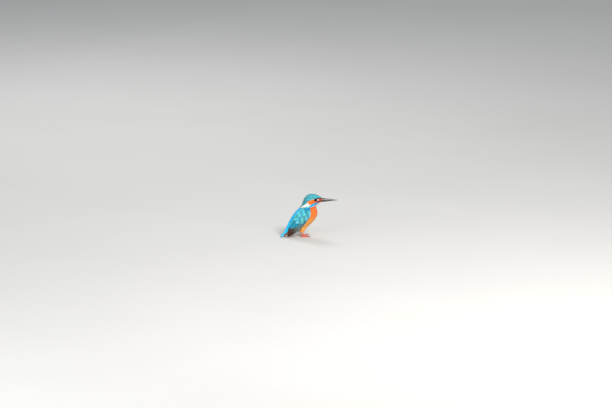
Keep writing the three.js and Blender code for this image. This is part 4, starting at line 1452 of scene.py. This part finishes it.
coat_p = np.linspace(0.0, 0.985, COAT_GRID[0])
coat_q = np.linspace(0, math.pi, COAT_GRID[1])
tract_grid = tract_at(*np.meshgrid(coat_p, coat_q, indexing="ij"))
tract_sizes = np.array([TRACTS[name][3:] for name in TRACT_NAMES])
size_grids = [blurred(tract_sizes[tract_grid, k], 5) for k in range(5)]
roots = rows_of_roots(body_sheet, coat_p, coat_q, size_grids[2], size_grids[3])
mirrored = roots[(roots[:, 1] > 0.03) & (roots[:, 1] < math.pi - 0.03)] * (1, -1)
roots = np.vstack([roots, mirrored])
cells = (
    np.clip(np.searchsorted(coat_p, roots[:, 0]), 0, COAT_GRID[0] - 1),
    np.clip(np.searchsorted(coat_q, np.abs(roots[:, 1])), 0, COAT_GRID[1] - 1),
)
length, width, row_gap, gap, rise = (grid[cells] for grid in size_grids)
place, with_u, with_turn, _ = sheet_axes(body_sheet, roots[:, 0], roots[:, 1])
strewn = coat_rng.normal(0, 0.18, (2, len(roots)))
roots[:, 0] += np.clip(strewn[0] * row_gap / np.linalg.norm(with_u, axis=1), -0.01, 0.01)
roots[:, 1] += np.clip(strewn[1] * gap / np.linalg.norm(with_turn, axis=1), -0.1, 0.1)
eye_off = np.minimum(*(np.where(off_eye(place, s)[1] > 0, off_eye(place, s)[0], 99) for s in (1, -1)))
off_lids = smooth(EYE_CLEARANCE, 6.0, eye_off)
length = length * (0.6 + 0.4 * off_lids)
unturned = {"p": roots[:, 0], "q": roots[:, 1], "heading": 0.0, "length": length}
shown_u, shown_turn = traced(body_sheet, round_the_eye, unturned)[SHOWN_STEP, :2]
shown_place = (np.clip(shown_u, 0, 1.02), shown_turn)
tract, shown = tract_at(*shown_place), body_sheet(*shown_place)

grounds, marks, strengths = (np.array([TRACTS[name][k] for name in TRACT_NAMES])[tract] for k in range(3))
is_tract = {name: tract == number for number, name in enumerate(TRACT_NAMES)}
# the orange is painted paler lower down: partly the belly's own paler orange, partly painted light for a
# belly lit from the ground
low_down = smooth(*BREAST_TO_BELLY, shown[:, 2])
orange = is_tract["breast"] | is_tract["belly"] | is_tract["vent"]
to_vent = smooth(*TO_VENT, shown_u)[:, None]
orange_ground = between(low_down, paint(242, 100, 18), paint(255, 160, 50))
orange_mark = between(low_down, TRACTS["breast"][1], TRACTS["belly"][1])
grounds[orange] = (orange_ground + (TRACTS["vent"][0] - orange_ground) * to_vent)[orange]
marks[orange] = (orange_mark + (TRACTS["vent"][1] - orange_mark) * to_vent)[orange]
# painted shade: the cap darker towards the nape
nape_shade = smooth(*DOWN_THE_CAP, shown[:, 0])
grounds[is_tract["cap"]] = between(nape_shade, paint(0, 90, 108), paint(0, 76, 88))[is_tract["cap"]]
mid_back = smooth(*ACROSS_THE_BACK, np.abs(shown[:, 1]))
to_tail = smooth(*DOWN_THE_BACK, shown[:, 2])[:, None]
azure_back = between(mid_back, paint(0, 140, 196), paint(0, 160, 232))
azure_back = azure_back + (between(mid_back, paint(0, 158, 196), paint(20, 182, 222)) - azure_back) * to_tail
grounds[is_tract["back"]] = azure_back[is_tract["back"]]
# painted sheen on the scapulars, in patches like the wing's
azure, pale = shimmer(shown)
shoulders = is_tract["scapular"]
grounds[shoulders] = wing_ground(azure, pale)[shoulders]
# painted shadow: the scapulars in the gap below the blue spot, darkened
in_painted_shadow = within_stripe(SHOULDER_SHADOW_LINE, SHOULDER_SHADOW_HALF, shown[:, 0], shown[:, 2]) & (np.abs(shown[:, 1]) > SHOULDER_SHADOW_OUT)
grounds[in_painted_shadow & shoulders] *= SHOULDER_SHADOW_SHARE
# painted shade: the blue spot before the wing darkened, and its tips dulled
shoulder_in_painted_shade = is_tract["malar"] & (shown[:, 2] < SHOULDER_TOP)
grounds[shoulder_in_painted_shade] *= SHOULDER_SHADE
marks[shoulder_in_painted_shade] *= SHOULDER_DULL
tones = coat_rng.normal(0, 0.09, (len(roots), 1)) + coat_rng.normal(0, 0.025, (len(roots), 3))
grounds = grounds * np.exp(tones)
marks = marks * np.exp(coat_rng.normal(0, 0.05, (len(roots), 1)))
# the cap's bars duller towards the nape, as painted shade
marks[is_tract["cap"]] = between(nape_shade, paint(104, 230, 242), paint(84, 192, 208))[is_tract["cap"]]
strengths = strengths * np.where(is_tract["cap"], coat_rng.uniform(0.65, 1.05, len(roots)), 1)
# their spots painted stronger where the painted sheen is pale
flecked = strengths * (0.2 + 0.8 * pale) * coat_rng.uniform(0.4, 1.0, len(roots))
strengths = np.where(shoulders, flecked, strengths)

root_a, root_b, root_within = on_wing(place)
lower_edge, upper_edge, _, _ = wing_shape(root_a)
hidden = (root_b > lower_edge + HIDDEN_INSIDE[0]) & (root_b < upper_edge - HIDDEN_INSIDE[1])
hidden &= (root_within > 0) & (root_a > HIDDEN_ALONG[0]) & (root_a < HIDDEN_ALONG[1])
coat = {
    "p": roots[:, 0], "q": roots[:, 1], "heading": coat_rng.normal(0, 0.05, len(roots)),
    "length": length * coat_rng.uniform(0.92, 1.08, len(roots)),
    "width": width * (0.8 + 0.2 * off_lids) * coat_rng.uniform(0.93, 1.07, len(roots)),
    "low": -coat_depth(roots[:, 0]) * (0.5 + 0.5 * off_lids),
    "high": rise * 0.3 + coat_rng.normal(0, 0.04, len(roots)),
    "curl": rise * coat_rng.uniform(0.2, 1.0, len(roots)),
    "ground": grounds, "mark": np.hstack([marks, strengths[:, None]]),
    "over": (root_b > upper_edge - LAPPED) & (root_a < LAPS_TO) & (place[:, 0] < LAPS_FROM) & ~orange
    & ~is_tract["throat"],
}
shown_here = ~hidden & (eye_off > EYE_CLEARANCE)
barred_finish = feather_finish("barred cap feather", 0.5, (0.74, 0.80), (0.91, 0.97), sheen=0.15)
# the silky feathers keep more of their brightness under the painted shade at their roots
soft_finish = feather_finish("silky body feather", 0.62, (0.55, 1.0), None, depth=0.86)
azure_finish = feather_finish("azure back feather", 0.54, (0.55, 0.95), None, sheen=0.04)
face_plans = [feather_plan(60 + k, 10, 4.2, 0.2, 0.34, 0.08) for k in range(4)]
cap_plans = [feather_plan(70 + k, 13, 3.6, 0.2, 0.24, 0.06) for k in range(4)]
soft_plans = [feather_plan(80 + k, 24, 4.6, 0.25, 0.46, 0.12) for k in range(6)]
firm_plans = [feather_plan(90 + k, 20, 4.6, 0.25, 0.28, 0.06) for k in range(5)]
fine_plans = [feather_plan(110 + k, 28, 4.4, 0.22, 0.18, 0.06) for k in range(5)]
for name, tracts, plans, finish, slot in (
    ("crown_feathers", ("cap",), cap_plans, barred_finish, "crown_feathers"),
    ("moustache_feathers", ("malar",), fine_plans, azure_finish, "crown_feathers"),
    ("face_feathers", ("lore", "gape", "spot"), face_plans, soft_finish, "crown_feathers"),
    ("ear_feathers", ("ear",), cap_plans, soft_finish, "body_feathers"),
    ("neck_feathers", ("patch", "throat"), cap_plans, soft_finish, "neck_feathers"),
    ("breast_feathers", ("breast",), soft_plans, soft_finish, "body_feathers"),
    ("belly_feathers", ("belly",), soft_plans, soft_finish, "body_feathers"),
    ("vent_feathers", ("vent",), soft_plans, soft_finish, "body_feathers"),
    ("back_feathers", ("back",), firm_plans, azure_finish, "body_feathers"),
    ("scapular_feathers", ("scapular",), fine_plans, azure_finish, "wing_feathers"),
):
    chosen = shown_here & np.any([is_tract[t] for t in tracts], axis=0)
    feathers = {key: value[chosen] for key, value in coat.items()}
    piece = lay_feathers(name, body_sheet, feathers, plans, lie=round_the_eye, press=round_the_wing)
    settle(piece, finish, slot)

# The thighs' own short feathers, down to the hock.
thigh_p, thigh_q = np.linspace(0.02, 0.97, 80), np.linspace(0, FULL_TURN, 60)
thigh_gaps = np.broadcast_to(np.interp(thigh_p, [0.0, 1.0], [1.7, 0.8])[:, None], (80, 60))
thigh_roots = rows_of_roots(thigh_sheet, thigh_p, thigh_q, thigh_gaps, thigh_gaps * 0.9, closed=True)
thigh_down = thigh_roots[:, 0]
thigh_count = len(thigh_roots)
thigh_plans = [feather_plan(100 + k, 17, 4.4, 0.25, 0.46, 0.12) for k in range(5)]
for side, hand in ((1, "left"), (-1, "right")):
    tones = np.exp(coat_rng.normal(0, 0.09, (thigh_count, 1)))
    thigh_coat = {
        "p": thigh_down, "q": thigh_roots[:, 1], "heading": coat_rng.normal(0, 0.08, thigh_count),
        "length": np.interp(thigh_down, [0.0, 1.0], [6.4, 2.4]) * coat_rng.uniform(0.9, 1.1, thigh_count),
        "width": np.interp(thigh_down, [0.0, 1.0], [2.8, 1.2]), "low": np.full(thigh_count, -THIGH_DEPTH),
        "high": coat_rng.normal(0, 0.05, thigh_count), "curl": coat_rng.uniform(0.0, 0.2, thigh_count),
        "ground": TRACTS["belly"][0] * tones,
        "mark": np.tile(np.append(TRACTS["belly"][1], 0.5), (thigh_count, 1)),
    }
    piece = lay_feathers(f"thigh_{hand}_feathers", thigh_sheet, thigh_coat, thigh_plans, side=side)
    settle(piece, soft_finish, "body_feathers")

# ---------------------------------------------------------------------------------- the undertail
# The rufous coverts that hang under the tail, from the vent almost down to the ground.
UNDERTAIL_ROOT, UNDERTAIL_TIP = np.array([-43.0, 0, 10.5]), np.array([-59.5, 0, 1.3])
UNDERTAIL_ALONG = unit(UNDERTAIL_TIP - UNDERTAIL_ROOT)
UNDERTAIL_LENGTH = float(np.linalg.norm(UNDERTAIL_TIP - UNDERTAIL_ROOT))


def undertail_sheet(p, q):
    """The underside of the coverts below the tail: a keel rounded up at both sides."""
    up = np.array([UNDERTAIL_ALONG[2], 0, -UNDERTAIL_ALONG[0]])
    lift = 2.6 * (q / 5.5) ** 2 - 0.8 * np.sin(math.pi * p / UNDERTAIL_LENGTH)
    return UNDERTAIL_ROOT + p[..., None] * UNDERTAIL_ALONG - q[..., None] * [0, 1.0, 0] + lift[..., None] * up


def rufous(azure, pale):
    """The ground under the tail, which is the vent's and doesn't shimmer."""
    return TRACTS["vent"][0]


undertail_rows = []
for number in range(5):
    reach = UNDERTAIL_LENGTH - 0.4 - 3.2 * number
    half = 3.2 + 0.55 * number
    undertail_rows.append((
        (reach, -half), (reach, half), 5 + number % 2, 9.5, 3.4, -1.0 - 0.1 * number, -0.3 + 0.12 * number,
        rufous, TRACTS["vent"][1], 0.6, (0.0, 0.0),
    ))
undertail_coverts = covert(undertail_sheet, undertail_rows)
undertail = lay_feathers("undertail_feathers", undertail_sheet, undertail_coverts, soft_plans)
settle(undertail, soft_finish, "body_feathers")

# ---------------------------------------------------------------------------------- the studio
# A plain pale floor and soft light, and the camera a long way off, a little behind the bird's right
# side and somewhat above it.
AZIMUTH, ELEVATION = math.radians(-10), math.radians(12)
DISTANCE = 12.0
LENS = 307.0
ACROSS, UPWARD = -0.0064, 0.0734  # where the picture's middle lies from the origin, in metres

bpy.ops.mesh.primitive_plane_add(size=40.0, location=(0, 0, -0.0001))
floor = bpy.context.object
floor.name = "floor"
floor_finish, tree, shader = new_finish("pale floor", 0.8)
clouds = noise(tree, whereabouts(tree), 3.0)
coloured(tree, shader, blended(tree, clouds, (0.50, 0.495, 0.48, 1), (0.54, 0.535, 0.52, 1)))
floor.data.materials.append(floor_finish)

world = bpy.data.worlds.new("studio air")
bpy.context.scene.world = world
world.use_nodes = True
world.node_tree.nodes["Background"].inputs["Color"].default_value = (0.92, 0.95, 1.0, 1)
world.node_tree.nodes["Background"].inputs["Strength"].default_value = 0.55
bpy.context.scene.view_settings.view_transform = "Standard"


def lamp(name, place, target, size, power, colour):
    """A round soft lamp at a place, turned to a target."""
    light = bpy.data.lights.new(name, "AREA")
    light.shape = "DISK"
    light.size = size
    light.energy = power
    light.color = colour
    holder = bpy.data.objects.new(name, light)
    holder.location = place
    holder.rotation_euler = (Vector(target) - Vector(place)).to_track_quat("-Z", "Y").to_euler()
    bpy.context.scene.collection.objects.link(holder)


lamp("key", (0.8, -1.65, 1.75), (0, 0, 0.05), 0.8, 64.0, (1.0, 0.97, 0.93))
lamp("fill", (-1.8, -1.8, 0.6), (0, 0, 0.05), 1.6, 30.0, (0.97, 0.98, 1.0))
lamp("rim", (-0.4, 2.0, 1.8), (0, 0, 0.05), 1.0, 24.0, (1.0, 1.0, 1.0))

ahead = Vector((
    -math.sin(AZIMUTH) * math.cos(ELEVATION), math.cos(AZIMUTH) * math.cos(ELEVATION), -math.sin(ELEVATION),
))
rightward = Vector((math.cos(AZIMUTH), math.sin(AZIMUTH), 0))
upward = rightward.cross(ahead)
camera_data = bpy.data.cameras.new("camera")
camera_data.lens = LENS
camera_data.sensor_width = 36.0
camera_data.clip_start = 0.1
camera_data.clip_end = 100.0
camera = bpy.data.objects.new("camera", camera_data)
bpy.context.scene.collection.objects.link(camera)
camera.matrix_world = Matrix.Translation(rightward * ACROSS + upward * UPWARD - ahead * DISTANCE) @ Matrix(
    (rightward, upward, -ahead)).transposed().to_4x4()
bpy.context.scene.camera = camera
